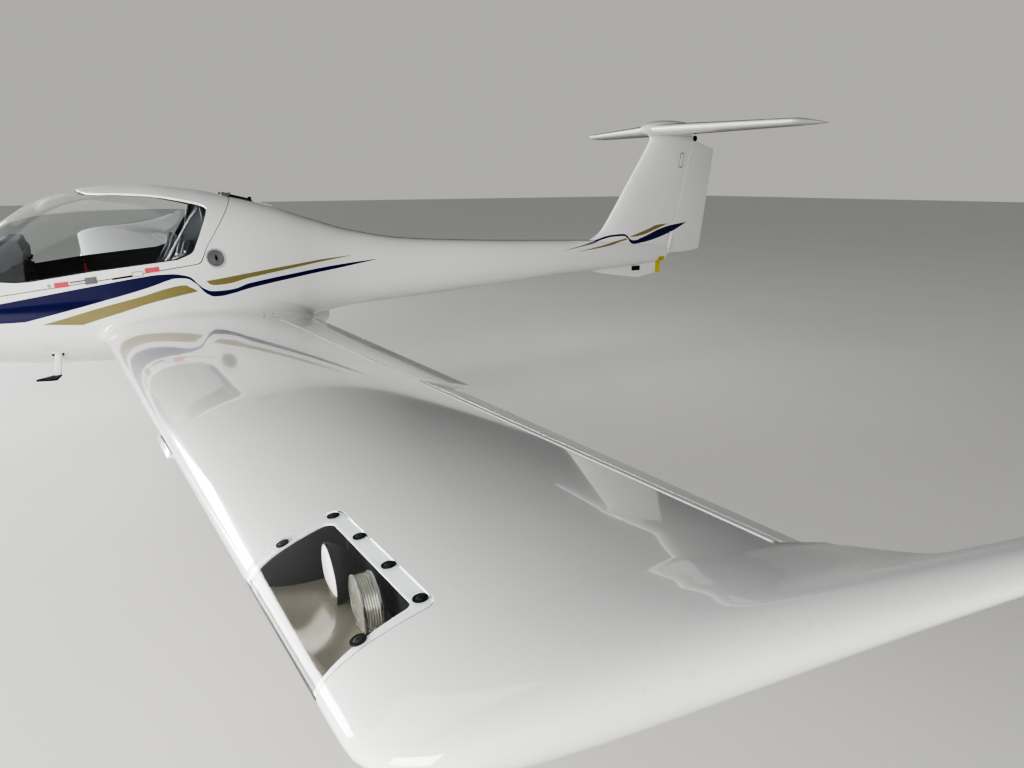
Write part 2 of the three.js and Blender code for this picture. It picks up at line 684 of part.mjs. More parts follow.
function wheel(tyreName, rimName, axle, side) {
  const at = { x: axle.x, y: axle.y * side, z: axle.z };
  piece(tyreName, lathe(tyreOutline(axle), at, 28), rubber);
  piece(rimName, lathe(rimOutline(axle), at, rimSides), white);
}
wheel('nose_tyre', 'nose_rim', noseAxle, 1);
wheel('main_tyre_left', 'main_rim_left', mainAxle, 1);
wheel('main_tyre_right', 'main_rim_right', mainAxle, -1);

// Main gear leg with its axle and brake caliper
const bellyCut = fuselageLoft(seat);
function mainLeg() {
  const { x, y, z, width } = mainAxle;
  const leg = limb([
    { at: [x, y - 76, z + 2], wide: 40, thick: 11 },
    { at: [x, y - 84, z + 6], wide: 46, thick: 12 },
    { at: [x, 720, 292], wide: 52, thick: 13 },
    { at: [x, 420, 455], wide: 62, thick: 15 },
    { at: [x, 250, 530], wide: 66, thick: 17 },
    { at: [x, 150, 560], wide: 66, thick: 17 },
  ], [1, 0, 0], 5);
  const axle = rod([x, y - 86, z], [x, y + width * 0.35 + 12, z], axleRadius)
    .add(rod([x, y + width * 0.35 + 5, z], [x, y + width * 0.35 + 17, z], 24, 24, 6));
  const caliper = box([x - 95, y - 92, z + 8], [x - 45, y - 70, z + 58])
    .add(box([x - 60, y - 90, z - 10], [x + 4, y - 78, z + 30]));
  return leg.subtract(bellyCut).add(axle).add(caliper);
}
const leg = mainLeg();
piece('main_gear_leg_left', leg, white);
piece('main_gear_leg_right', mirrored(leg), white);

// Nose gear: fixed leg with the caster housing, and the fork that turns in it
const housing = { low: 392, high: 474, radius: 30 };
const noseLeg = limb([
  { at: [casterX - 4, 0, 436], wide: 26, thick: 26 },
  { at: [casterX - 130, 0, 468], wide: 30, thick: 30 },
  { at: [1050, 0, 540], wide: 34, thick: 34 },
  { at: [800, 0, 612], wide: 38, thick: 40 },
], [0, 1, 0]).add(rod([casterX, 0, housing.low], [casterX, 0, housing.high], housing.radius))
  .subtract(bellyCut)
  .subtract(rod([casterX, 0, 300], [casterX, 0, 500], boreFor(axleRadius)));
piece('nose_gear_leg', noseLeg, white);
function makeFork() {
  const { x, z, width } = noseAxle;
  const arm = (side) => limb([
    { at: [x, side * (width / 2 + 16), z - 22], wide: 24, thick: 8 },
    { at: [x + 20, side * (width / 2 + 16), z + 60], wide: 28, thick: 9 },
    { at: [casterX - 34, side * (width / 2 + 14), 340], wide: 34, thick: 10 },
    { at: [casterX - 10, side * (width / 2 - 6), 372], wide: 34, thick: 10 },
    { at: [casterX, side * 8, 380], wide: 34, thick: 8 },
  ], [1, 0, 0], 4);
  const crown = box([casterX - 36, -width / 2, 364], [casterX + 34, width / 2, housing.low - seat]);
  const pin = rod([casterX, 0, 370], [casterX, 0, housing.high + 6], axleRadius);
  const cap = rod([casterX, 0, housing.high + seat], [casterX, 0, housing.high + 14], 24, 24, 6);
  const axle = rod([x, -width / 2 - 34, z], [x, width / 2 + 34, z], axleRadius);
  const nuts = [-1, 1].map((side) => (
    rod([x, side * (width / 2 + 22), z], [x, side * (width / 2 + 36), z], 20, 20, 6)));
  return [arm(1), arm(-1), pin, cap, axle, ...nuts].reduce((sum, part) => sum.add(part), crown);
}
piece('nose_fork', makeFork(), white);

// Ventral fin, entry steps, filler cap, hatch on the spine
const ventral = sidePlate([[-3860, 880], [-4060, 832], [-4472, 771], [-4740, 812], [-4740, 930]], -9, 9)
  .subtract(bellyCut);
piece('ventral_fin', ventral, white);

function makeStep() {
  const strut = limb([
    { at: [243, 430, 702], wide: 18, thick: 9 },
    { at: [246, 450, 660], wide: 18, thick: 9 },
    { at: [261, 456, 544], wide: 18, thick: 9 },
  ], [1, 0, 0], 3, 12).subtract(bellyCut);
  return strut.add(planPlate([[240, 446], [267, 560], [300, 560], [381, 533], [286, 446]], 536, 546));
}
const step = makeStep();
piece('step_left', step, white);
piece('step_right', mirrored(step), white);

const capAt = [-667, 510, 1191];
const fillerCap = rod([capAt[0], capAt[1] - 30, capAt[2] - 12], [capAt[0], capAt[1] + 22, capAt[2] + 9], 50, 50, 28)
  .subtract(fuselageLoft(seat));
piece('fuel_filler_cap', fillerCap, grey);
const hatch = fuselageLoft(6).subtract(fuselageLoft(seat))
  .intersect(box([-1160, -38, 1300], [-884, 38, 1700]));
piece('spine_hatch', hatch, white);

// Cabin furniture
const cabin = fuselageLoft(-skin - seat, 20, firewallX - rearWall - seat, -1200)
  .subtract(sidePlate(canopySide(10), -900, 900))
  .add(fuselageLoft(-skin - 8, 20, firewallX - rearWall - seat, -1200));
const panel = sidePlate([[350, 1010], [334, 1290], [352, 1316], [420, 1322], [560, 1262],
  [690, 1190], [870, 1180], [870, 1150], [500, 1150], [470, 1010]], -560, 560)
  .intersect(cabin);
piece('instrument_panel', panel, black);
const consolePiece = sidePlate([[470, 500], [470, 1009], [400, 1009], [340, 860], [-300, 780],
  [-300, 500]], -62, 62).intersect(cabin);
piece('center_console', consolePiece, grey);

const seatY = 285;
const seatHalf = 215;
function makeSeat(side) {
  const [low, high] = [side * seatY - seatHalf, side * seatY + seatHalf];
  const shell = sidePlate([[190, 742], [190, 500], [165, 500], [165, 720], [-318, 692], [-318, 500],
    [-340, 500], [-340, 700], [-560, 1290], [-540, 1300], [-315, 712]], low, high).intersect(cabin);
  const pad = sidePlate([[185, 743], [200, 790], [170, 830], [-180, 805], [-260, 840], [-465, 1300],
    [-539, 1301], [-315, 713 + seat], [180, 743]], low + 12, high - 12).intersect(cabin);
  return [shell, pad];
}
for (const [label, side] of [['left', 1], ['right', -1]]) {
  const [shell, pad] = makeSeat(side);
  piece(`seat_${label}`, shell, grey);
  piece(`seat_pad_${label}`, pad.subtract(shell), cloth);
}
const bulkhead = sidePlate([[-600, 560], [-600, 900], [-690, 1440], [-702, 1440], [-614, 900],
  [-614, 560]], -560, 560).intersect(cabin);
piece('rear_bulkhead', bulkhead, black);

function makeStick(side) {
  const y = side * seatY;
  return rod([232, y, 500], [228, y, 700], 36, 14, 14).add(rod([228, y, 690], [205, y, 985], 12, 15, 12))
    .intersect(cabin);
}
piece('control_stick_left', makeStick(1), black);
piece('control_stick_right', makeStick(-1), black);
function makePedals() {
  const bar = rod([700, -400, 790], [700, 400, 790], 12, 12, 12);
  const pads = [-360, -190, 190, 360].map((y) => (
    box([686, y - 40, 780], [700, y + 40, 890])));
  const stand = box([690, -30, 500], [712, 30, 790]);
  return pads.reduce((sum, pad) => sum.add(pad), bar.add(stand)).intersect(cabin);
}
piece('rudder_pedals', makePedals(), grey);

const shift = -(noseTip + tailTip) / 2;
for (const mesh of aircraft.children) mesh.position.x = shift;

export default aircraft;
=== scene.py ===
# Looks of a two-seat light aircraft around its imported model. Metres, nose towards +X, left wing +Y.
import math

import bmesh
import bpy
from mathutils import Euler, Matrix, Quaternion, Vector


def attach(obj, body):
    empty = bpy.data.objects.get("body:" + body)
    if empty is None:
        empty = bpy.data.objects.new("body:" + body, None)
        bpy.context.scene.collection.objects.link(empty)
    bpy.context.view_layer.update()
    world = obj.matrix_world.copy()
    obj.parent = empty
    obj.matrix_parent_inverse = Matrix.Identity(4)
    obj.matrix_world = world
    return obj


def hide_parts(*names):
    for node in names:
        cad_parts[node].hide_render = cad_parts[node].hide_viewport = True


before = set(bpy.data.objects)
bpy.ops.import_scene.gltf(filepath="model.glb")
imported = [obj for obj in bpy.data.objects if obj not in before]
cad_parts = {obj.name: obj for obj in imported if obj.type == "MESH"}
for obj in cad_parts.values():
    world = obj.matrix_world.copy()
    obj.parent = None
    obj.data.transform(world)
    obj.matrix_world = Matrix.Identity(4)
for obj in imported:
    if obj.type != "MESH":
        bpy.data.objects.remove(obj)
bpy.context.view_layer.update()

# Stations are millimetres from the wing's leading edge at the centre line, as on a drawing
shift = 1736.5
sides = ((1, "left"), (-1, "right"))


def at(x, y, z):
    return Vector(((x + shift) / 1000, y / 1000, z / 1000))


def mm(value):
    return value / 1000


# Camera, light and floor
cameraView = {"x": 153, "y": 5554, "z": 1649, "yaw": 30.466, "pitch": 15.029, "roll": -0.132, "lens": 26.66}
studio = {"rear": (0.035, 0.035, 0.036), "front": (0.78, 0.765, 0.73), "zenith": (0.12, 0.125, 0.13),
          "backdrop": (0.46, 0.455, 0.43), "skyStrength": 0.85, "floorGlow": 0.2,
          "look": "AgX - High Contrast"}
softLights = {  # place, target, size, power, color
    "topSoft": ((3.4, 0.5, 6), (2.4, 0, 0), (5, 5), 80, (1, 0.99, 0.97)),
    "frontSoft": ((6.5, 6.5, 2.3), (1.2, 0.8, 1), (4, 3), 580, (1, 0.98, 0.95)),
    "sideSoft": ((-5, 9, 4), (-1, 1, 1), (6, 3), 5, (0.94, 0.97, 1)),
    "doorSoft": ((7.5, -6.5, 1.9), (1.5, 1, 1), (8, 3.4), 1450, (0.97, 0.98, 1)),
}


def makeCamera():
    data = bpy.data.cameras.new("photoCamera")
    data.sensor_width = 36
    data.lens = cameraView["lens"]
    camera = inScene("photoCamera", data)
    camera.location = at(cameraView["x"], cameraView["y"], cameraView["z"])
    heading = math.radians(180 - cameraView["yaw"])
    level = Euler((math.radians(90 - cameraView["pitch"]), 0, heading)).to_quaternion()
    camera.rotation_mode = "QUATERNION"
    camera.rotation_quaternion = level @ Quaternion((0, 0, 1), math.radians(cameraView["roll"]))
    bpy.context.scene.camera = camera


def softLight(name, place, target, size, power, color):
    data = bpy.data.lights.new(name, "AREA")
    data.shape = "RECTANGLE"
    data.size, data.size_y = size
    data.energy = power
    data.color = color
    lamp = inScene(name, data)
    lamp.location = place
    lamp.rotation_euler = (Vector(target) - Vector(place)).to_track_quat("-Z", "Y").to_euler()


def seenDirectly(tree):
    # 1 for a ray from the camera or through glass, otherwise 0
    sight = node(tree, "LightPath")
    return maths(tree, "MAXIMUM", sight.outputs["Is Camera Ray"], sight.outputs["Is Transmission Ray"])


def makeStudio():
    world = bpy.data.worlds.new("studioSky")
    bpy.context.scene.world = world
    world.use_nodes = True
    tree = world.node_tree
    sky = tree.nodes["Background"]
    parts = node(tree, "SeparateXYZ")
    tree.links.new(node(tree, "TexCoord").outputs["Generated"], parts.inputs[0])
    around = mixColor(tree, remap(tree, parts.outputs["X"], -0.42, 0.12), studio["rear"], studio["front"])
    around = mixColor(tree, remap(tree, parts.outputs["Z"], 0.1, 0.8), around, studio["zenith"])
    tree.links.new(mixColor(tree, seenDirectly(tree), around, studio["backdrop"]), sky.inputs["Color"])
    sky.inputs["Strength"].default_value = studio["skyStrength"]
    bpy.context.scene.view_settings.look = studio["look"]
    for name, values in softLights.items():
        softLight(name, *values)
    bm = bmesh.new()
    bmesh.ops.create_grid(bm, x_segments=1, y_segments=1, size=60)
    floor = asObject("studioFloor", bm)
    material, tree, shader = newMaterial("paleFloor", (0.67, 0.665, 0.65), 0.75)
    mottle = noiseAt(tree, 0.7, 5)
    mixInto(tree, shader, "Base Color", mottle, (0.64, 0.635, 0.62), (0.70, 0.695, 0.68))
    shader.inputs["Emission Color"].default_value = (*studio["backdrop"], 1)
    glow = maths(tree, "MULTIPLY", seenDirectly(tree), studio["floorGlow"])
    tree.links.new(glow, shader.inputs["Emission Strength"])
    floor.data.materials.append(material)


# Node helpers for the materials
def newMaterial(name, color, roughness, metallic=0.0, coat=0.0):
    material = bpy.data.materials.new(name)
    material.use_nodes = True
    tree = material.node_tree
    shader = tree.nodes["Principled BSDF"]
    setInputs(shader, {"Base Color": (*color, 1), "Roughness": roughness, "Metallic": metallic,
                       "Coat Weight": coat})
    return material, tree, shader


def setInputs(target, values):
    for socket, value in values.items():
        target.inputs[socket].default_value = value


def node(tree, kind, **settings):
    made = tree.nodes.new("ShaderNode" + kind)
    for key, value in settings.items():
        setattr(made, key, value)
    return made


def maths(tree, operation, first, second=None):
    made = node(tree, "Math", operation=operation)
    for slotNumber, value in enumerate((first, second)):
        if value is None:
            continue
        if isinstance(value, (int, float)):
            made.inputs[slotNumber].default_value = value
        else:
            tree.links.new(value, made.inputs[slotNumber])
    return made.outputs[0]


def objectCoordinates(tree):
    found = tree.nodes.get("objectPlace")
    if found is None:
        found = node(tree, "TexCoord", name="objectPlace")
    return found.outputs["Object"]


def noiseAt(tree, scale, detail=3, roughness=0.5, stretch=None):
    texture = node(tree, "TexNoise")
    setInputs(texture, {"Scale": scale, "Detail": detail, "Roughness": roughness})
    source = objectCoordinates(tree)
    if stretch:
        mapping = node(tree, "Mapping")
        mapping.inputs["Scale"].default_value = stretch
        tree.links.new(source, mapping.inputs["Vector"])
        source = mapping.outputs["Vector"]
    tree.links.new(source, texture.inputs["Vector"])
    return texture.outputs["Fac"]


def remap(tree, value, low, high, newLow=0.0, newHigh=1.0):
    made = node(tree, "MapRange")
    setInputs(made, {"From Min": low, "From Max": high, "To Min": newLow, "To Max": newHigh})
    tree.links.new(value, made.inputs["Value"])
    return made.outputs["Result"]


def mixColor(tree, factor, first, second):
    made = node(tree, "Mix", data_type="RGBA")
    tree.links.new(factor, made.inputs["Factor"])
    for name, value in (("A", first), ("B", second)):
        socket = next(s for s in made.inputs if s.name == name and s.type == "RGBA")
        if isinstance(value, tuple):
            socket.default_value = (*value, 1)
        else:
            tree.links.new(value, socket)
    return next(s for s in made.outputs if s.type == "RGBA")


def mixInto(tree, shader, socket, factor, first, second):
    tree.links.new(mixColor(tree, factor, first, second), shader.inputs[socket])


def bumpFrom(tree, shader, height, strength, distance):
    bump = node(tree, "Bump")
    setInputs(bump, {"Strength": strength, "Distance": distance})
    tree.links.new(height, bump.inputs["Height"])
    tree.links.new(bump.outputs["Normal"], shader.inputs["Normal"])


# Painted stripes: edges in stations (x, z), each from front to back
paintColors = {"white": (0.84, 0.845, 0.84), "dusty": (0.76, 0.765, 0.76), "navy": (0.004, 0.004, 0.065),
               "gold": (0.25, 0.215, 0.085)}
sideStripes = [
    {"color": "navy",
     "upper": [(1240, 893), (900, 938), (477, 999), (-18, 1071), (-250, 1101), (-341, 1108), (-408, 1107),
               (-453, 1100), (-497, 1088), (-529, 1063), (-556, 1031), (-599, 998), (-633, 987),
               (-690, 985), (-870, 1016), (-1221, 1054), (-1529, 1081), (-1830, 1099)],
     "lower": [(1240, 892), (374, 889, "kink"), (202, 927), (-5, 974), (-240, 1030), (-318, 1052),
               (-387, 1073), (-427, 1080), (-469, 1078), (-522, 1054), (-571, 1000), (-606, 968), (-662, 952),
               (-734, 959), (-866, 984), (-1219, 1027), (-1528, 1059), (-1830, 1097)]},
    {"color": "gold",
     "upper": [(298, 867), (207, 888), (-1, 940), (-236, 991), (-416, 1033), (-462, 1037), (-500, 1023),
               (-548, 994)],
     "lower": [(298, 867), (97, 848, "kink"), (8, 873), (-127, 908), (-266, 944), (-408, 971), (-548, 994)]},
    {"color": "gold",
     "upper": [(-598, 1052), (-653, 1057), (-876, 1080), (-1228, 1112), (-1460, 1130), (-1625, 1137)],
     "lower": [(-598, 1052), (-661, 1022), (-873, 1050), (-1226, 1092), (-1460, 1118), (-1625, 1135)]},
]
finStripes = [
    {"color": "navy",
     "upper": [(-3540, 1066), (-3900, 1123), (-4242, 1179), (-4290, 1165), (-4330, 1131), (-4375, 1118),
               (-4450, 1135), (-4790, 1234), (-5036, 1263)],
     "lower": [(-3540, 1065), (-3900, 1111), (-4242, 1162), (-4290, 1146), (-4330, 1104), (-4375, 1086),
               (-4450, 1092), (-4764, 1159), (-5036, 1262)]},
    {"color": "gold",
     "upper": [(-3690, 1051), (-4060, 1101), (-4289, 1142)],
     "lower": [(-3690, 1050), (-4060, 1083), (-4289, 1126)]},
    {"color": "gold",
     "upper": [(-4315, 1150), (-4560, 1222), (-4640, 1247), (-4790, 1258)],
     "lower": [(-4315, 1149), (-4400, 1152), (-4660, 1218), (-4790, 1258)]},
]


def edgeHeight(tree, along, points):
    # A float curve from the first station to the last one, back in metres of height
    front, back = points[0][0], points[-1][0]
    low = min(point[1] for point in points) - 1
    high = max(point[1] for point in points) + 1
    share = remap(tree, along, at(front, 0, 0).x, at(back, 0, 0).x)
    curve = node(tree, "FloatCurve")
    line = curve.mapping.curves[0]
    line.points[0].location = (0, (points[0][1] - low) / (high - low))
    line.points[1].location = (1, (points[-1][1] - low) / (high - low))
    for x, z, *_ in points[1:-1]:
        line.points.new((x - front) / (back - front), (z - low) / (high - low))
    for made, point in zip(line.points, points):
        made.handle_type = "VECTOR" if len(point) > 2 else "AUTO_CLAMPED"
    curve.mapping.update()
    tree.links.new(share, curve.inputs["Value"])
    return remap(tree, curve.outputs[0], 0, 1, mm(low), mm(high))


def stripeMask(tree, along, height, stripe):
    under = maths(tree, "LESS_THAN", height, edgeHeight(tree, along, stripe["upper"]))
    over = maths(tree, "GREATER_THAN", height, edgeHeight(tree, along, stripe["lower"]))
    behind = maths(tree, "LESS_THAN", along, at(stripe["upper"][0][0], 0, 0).x)
    before = maths(tree, "GREATER_THAN", along, at(stripe["upper"][-1][0], 0, 0).x)
    return maths(tree, "MULTIPLY", maths(tree, "MULTIPLY", under, over),
                 maths(tree, "MULTIPLY", behind, before))


def whitePaint(name, stripes):
    material, tree, shader = newMaterial(name, paintColors["white"], 0.1, coat=0.8)
    setInputs(shader, {"Coat Roughness": 0.015, "Specular IOR Level": 0.5})
    clouds = noiseAt(tree, 1.4, 4)
    specks = remap(tree, noiseAt(tree, 90, 2), 0.63, 0.72)
    grime = maths(tree, "MULTIPLY", remap(tree, clouds, 0.45, 0.75), 0.5)
    color = mixColor(tree, grime, paintColors["white"], paintColors["dusty"])
    color = mixColor(tree, maths(tree, "MULTIPLY", specks, 0.12), color, (0.45, 0.43, 0.40))
    parts = node(tree, "SeparateXYZ")
    tree.links.new(objectCoordinates(tree), parts.inputs[0])
    for stripe in stripes:
        mask = stripeMask(tree, parts.outputs["X"], parts.outputs["Z"], stripe)
        color = mixColor(tree, mask, color, paintColors[stripe["color"]])
    tree.links.new(color, shader.inputs["Base Color"])
    tree.links.new(remap(tree, clouds, 0.3, 0.7, 0.07, 0.16), shader.inputs["Roughness"])
    bumpFrom(tree, shader, noiseAt(tree, 2.2, 1), 0.25, 0.0015)
    return material


# Mesh helpers
def smoothTable(rows):
    # A smooth curve without overshoot through rows of (key, value, ...)
    rows = sorted(rows)
    keys = [row[0] for row in rows]
    spans = [b - a for a, b in zip(keys, keys[1:])]

    def slopesOf(values):
        steps = [(b - a) / span for a, b, span in zip(values, values[1:], spans)]
        inner = [0 if a * b <= 0 else 2 * a * b / (a + b) for a, b in zip(steps, steps[1:])]
        return [steps[0], *inner, steps[-1]]

    columns = [list(column) for column in zip(*rows)][1:]
    slopes = [slopesOf(column) for column in columns]

    def read(key):
        key = min(max(key, keys[0]), keys[-1])
        k = next((i for i in range(1, len(keys) - 1) if keys[i] > key), len(keys) - 1) - 1
        span = spans[k]
        t = (key - keys[k]) / span
        result = []
        for values, slope in zip(columns, slopes):
            start = values[k] * (1 + 2 * t) * (1 - t) ** 2 + slope[k] * span * t * (1 - t) ** 2
            end = values[k + 1] * t * t * (3 - 2 * t) + slope[k + 1] * span * t * t * (t - 1)
            result.append(start + end)
        return result

    return read


def rounded(value, power):
    return math.copysign(abs(value) ** (2 / power), value)


def tube(around, along, place, capped=True):
    # A grid whose first and last columns meet; place gives a point for two shares of 0 to 1
    bm = bmesh.new()
    bmesh.ops.create_grid(bm, x_segments=around, y_segments=along, size=1)
    for vert in bm.verts:
        vert.co = place((vert.co.x + 1) / 2, (vert.co.y + 1) / 2)
    bmesh.ops.remove_doubles(bm, verts=bm.verts, dist=2e-6)
    if capped:
        rims = [edge for edge in bm.edges if edge.is_boundary]
        bmesh.ops.holes_fill(bm, edges=rims, sides=0)
    bmesh.ops.recalc_face_normals(bm, faces=bm.faces)
    return bm


def inScene(name, data):
    made = bpy.data.objects.new(name, data)
    bpy.context.scene.collection.objects.link(made)
    return made


def asObject(name, bm):
    mesh = bpy.data.meshes.new(name)
    bm.to_mesh(mesh)
    bm.free()
    return inScene(name, mesh)


def asMesh(source):
    graph = bpy.context.evaluated_depsgraph_get()
    return bpy.data.meshes.new_from_object(source.evaluated_get(graph))


def combine(target, operation, *tools):
    # Joins or cuts one solid with others, which are then used up
    for tool in tools:
        modifier = target.modifiers.new("combine", "BOOLEAN")
        modifier.operation = operation
        modifier.solver = "EXACT"
        modifier.object = tool
        mesh = asMesh(target)
        target.modifiers.clear()
        target.data = mesh
        bpy.data.objects.remove(tool)
    return target


def cut(target, *tools):
    return combine(target, "DIFFERENCE", *tools)


def join(target, *tools):
    return combine(target, "UNION", *tools)


def keep(target, *tools):
    return combine(target, "INTERSECT", *tools)


def copyOf(source):
    return inScene("copy", source.data.copy())


def mirrorOf(source):
    made = copyOf(source)
    bm = bmesh.new()
    bm.from_mesh(made.data)
    bmesh.ops.scale(bm, vec=(1, -1, 1), verts=bm.verts)
    bmesh.ops.reverse_faces(bm, faces=bm.faces)
    bm.to_mesh(made.data)
    bm.free()
    return made


def copyInto(target, source):
    # Adds one bmesh to another and frees it
    holder = bpy.data.meshes.new("holder")
    source.to_mesh(holder)
    source.free()
    target.from_mesh(holder)
    bpy.data.meshes.remove(holder)


def boxTool(low, high):
    bm = bmesh.new()
    bmesh.ops.create_cube(bm, size=1)
    low, high = at(*low), at(*high)
    for vert in bm.verts:
        vert.co = Vector(low[k] if vert.co[k] < 0 else high[k] for k in range(3))
    return asObject("box", bm)


def block(bm, middle, size, turn=Matrix()):
    # Adds a box of a size in metres about its middle
    bmesh.ops.create_cube(bm, size=1, matrix=Matrix.Translation(middle) @ turn @ Matrix.Diagonal((*size, 1)))


def bevelAll(bm, offset, segments=2):
    bmesh.ops.bevel(bm, geom=list(bm.edges), offset=offset, segments=segments, profile=0.5, affect="EDGES",
                    material=-1)


def facing(direction):
    # The turn that takes the Z axis to a direction
    return Vector(direction).to_track_quat("Z", "Y").to_matrix().to_4x4()


def spread(points, reach):
    # A solid from one outline, extruded by a vector
    bm = bmesh.new()
    face = bm.faces.new([bm.verts.new(point) for point in points])
    grown = bmesh.ops.extrude_face_region(bm, geom=[face])
    moved = [item for item in grown["geom"] if isinstance(item, bmesh.types.BMVert)]
    bmesh.ops.translate(bm, vec=reach, verts=moved)
    bmesh.ops.recalc_face_normals(bm, faces=bm.faces)
    return asObject("solid", bm)


def roundOutline(points):
    # Corners are (a, b) or (a, b, radius), and a radius turns the corner into an arc
    made = []
    for k, point in enumerate(points):
        corner = Vector(point[:2])
        radius = point[2] if len(point) > 2 else 0
        if not radius:
            made.append(tuple(corner))
            continue
        before = (Vector(points[k - 1][:2]) - corner).normalized()
        after = (Vector(points[(k + 1) % len(points)][:2]) - corner).normalized()
        half = before.angle(after) / 2
        middle = corner + (before + after).normalized() * (radius / math.sin(half))
        first = corner + before * (radius / math.tan(half)) - middle
        last = corner + after * (radius / math.tan(half)) - middle
        sweep = first.angle_signed(last)
        steps = max(3, int(abs(sweep) / 0.16))
        for step in range(steps + 1):
            made.append(tuple(middle + Matrix.Rotation(-sweep * step / steps, 2) @ first))
    return made


def prism(points, low=-900, high=900, plane="side"):
    # An outline in the side view (x, z) or the plan view (x, y), spread across the third direction
    outline = roundOutline(points)
    if plane == "side":
        return spread([at(a, low, b) for a, b in outline], Vector((0, mm(high - low), 0)))
    return spread([at(a, b, low) for a, b in outline], Vector((0, 0, mm(high - low))))


def rodMesh(bm, start, end, radius, endRadius=None, segments=32):
    span = Vector(end) - Vector(start)
    place = Matrix.Translation((Vector(start) + Vector(end)) / 2) @ facing(span)
    endRadius = radius if endRadius is None else endRadius
    bmesh.ops.create_cone(bm, cap_ends=True, segments=segments, radius1=radius, radius2=endRadius,
                          depth=span.length, matrix=place)


def rodTool(start, end, radius, endRadius=None, segments=64):
    bm = bmesh.new()
    rodMesh(bm, start, end, radius, endRadius, segments)
    return asObject("rod", bm)


def lathe(profile, middle, axis, segments=64):
    # A profile of (radius, along the axis) in millimetres, spun about the axis
    bm = bmesh.new()
    verts = [bm.verts.new((mm(radius), 0, mm(along))) for radius, along in profile]
    edges = [bm.edges.new(pair) for pair in zip(verts, verts[1:] + verts[:1])]
    bmesh.ops.spin(bm, geom=verts + edges, cent=(0, 0, 0), axis=(0, 0, 1), angle=2 * math.pi,
                   steps=segments, use_merge=True)
    bmesh.ops.remove_doubles(bm, verts=bm.verts, dist=1e-6)
    bmesh.ops.transform(bm, matrix=Matrix.Translation(middle) @ facing(axis), verts=bm.verts)
    bmesh.ops.recalc_face_normals(bm, faces=bm.faces)
    return bm


surfaces = {}  # the finishes by name


def finish(made, name, look, slot, replaces=(), body="airframe", angle=38):
    # Takes a bmesh or an object, which rides on the airframe unless a body is named
    if isinstance(made, bmesh.types.BMesh):
        made = asObject("piece", made)
    made.name = name
    mesh = made.data
    mesh.materials.clear()
    mesh.materials.append(surfaces[look])
    mesh.polygons.foreach_set("material_index", [0] * len(mesh.polygons))
    mesh.shade_smooth()
    mesh.set_sharp_from_angle(angle=math.radians(angle))
    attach(made, body)
    if replaces:
        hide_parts(*replaces)
    return made


# Finishes other than white paint
finishes = {
    "blackTrim": {"color": (0.014, 0.015, 0.017), "rough": (0.45, 0.7), "scale": 60, "bump": 0.04,
                  "specular": 0.15},
    "greyTrim": {"color": (0.16, 0.165, 0.17), "rough": (0.4, 0.65), "scale": 45, "bump": 0.05},
    "carpet": {"color": (0.02, 0.021, 0.024), "rough": (0.85, 1.0), "scale": 420, "bump": 0.8,
               "specular": 0.04},
    "brushedMetal": {"color": (0.56, 0.57, 0.58), "rough": (0.22, 0.4), "scale": 25, "bump": 0.05,
                     "metal": 1},
    "engineMetal": {"color": (0.17, 0.17, 0.18), "rough": (0.4, 0.65), "scale": 30, "bump": 0.3,
                    "metal": 0.7},
    "tyreRubber": {"color": (0.022, 0.022, 0.023), "rough": (0.75, 0.95), "scale": 90, "bump": 0.35},
    "propBlack": {"color": (0.02, 0.02, 0.022), "rough": (0.28, 0.42), "scale": 12, "bump": 0.05},
    "gearPaint": {"color": (0.80, 0.805, 0.80), "rough": (0.22, 0.36), "scale": 9, "bump": 0.05},
    "redPlastic": {"color": (0.55, 0.02, 0.025), "rough": (0.25, 0.35), "scale": 30, "bump": 0.05},
    "decalRed": {"color": (0.62, 0.09, 0.12), "rough": (0.3, 0.4), "scale": 30, "bump": 0.03},
    "yellowTape": {"color": (0.55, 0.50, 0.05), "rough": (0.4, 0.6), "scale": 80, "bump": 0.3},
    "leather": {"color": (0.035, 0.036, 0.04), "rough": (0.64, 0.7), "scale": 160, "bump": 0.015,
                "specular": 0.1},
    "seatCloth": {"color": (0.022, 0.024, 0.03), "rough": (0.8, 0.95), "scale": 520, "bump": 0.9,
                  "specular": 0.08},
    # Beige tone for the landing light pocket's floor: a painted reflection of the hangar floor on a partly
    # metallic tray
    "wellFloorReflection": {"color": (0.32, 0.29, 0.235), "rough": (0.1, 0.22), "scale": 30, "bump": 0.05,
                  "metal": 0.35},
    "coverSeat": {"color": (0.56, 0.57, 0.575), "rough": (0.4, 0.55), "scale": 60, "bump": 0.1},
    "belt": {"color": (0.03, 0.03, 0.033), "rough": (0.6, 0.8), "scale": 600, "bump": 0.7, "specular": 0.1},
    "dialGlass": {"color": (0.008, 0.008, 0.009), "rough": (0.05, 0.12), "scale": 20, "bump": 0.02},
    "frostedLens": {"color": (0.86, 0.87, 0.86), "rough": (0.25, 0.4), "scale": 40, "bump": 0.03},
    "ribbedLens": {"color": (0.15, 0.145, 0.12), "rough": (0.08, 0.2), "scale": 60, "bump": 0.05},
    "blackScrew": {"color": (0.05, 0.05, 0.052), "rough": (0.25, 0.45), "scale": 60, "bump": 0.1,
                   "metal": 0.5},
}
glassTints = {"clearPlastic": (0.93, 0.95, 0.95), "redGlass": (0.75, 0.02, 0.02),
              "greenGlass": (0.02, 0.45, 0.12)}


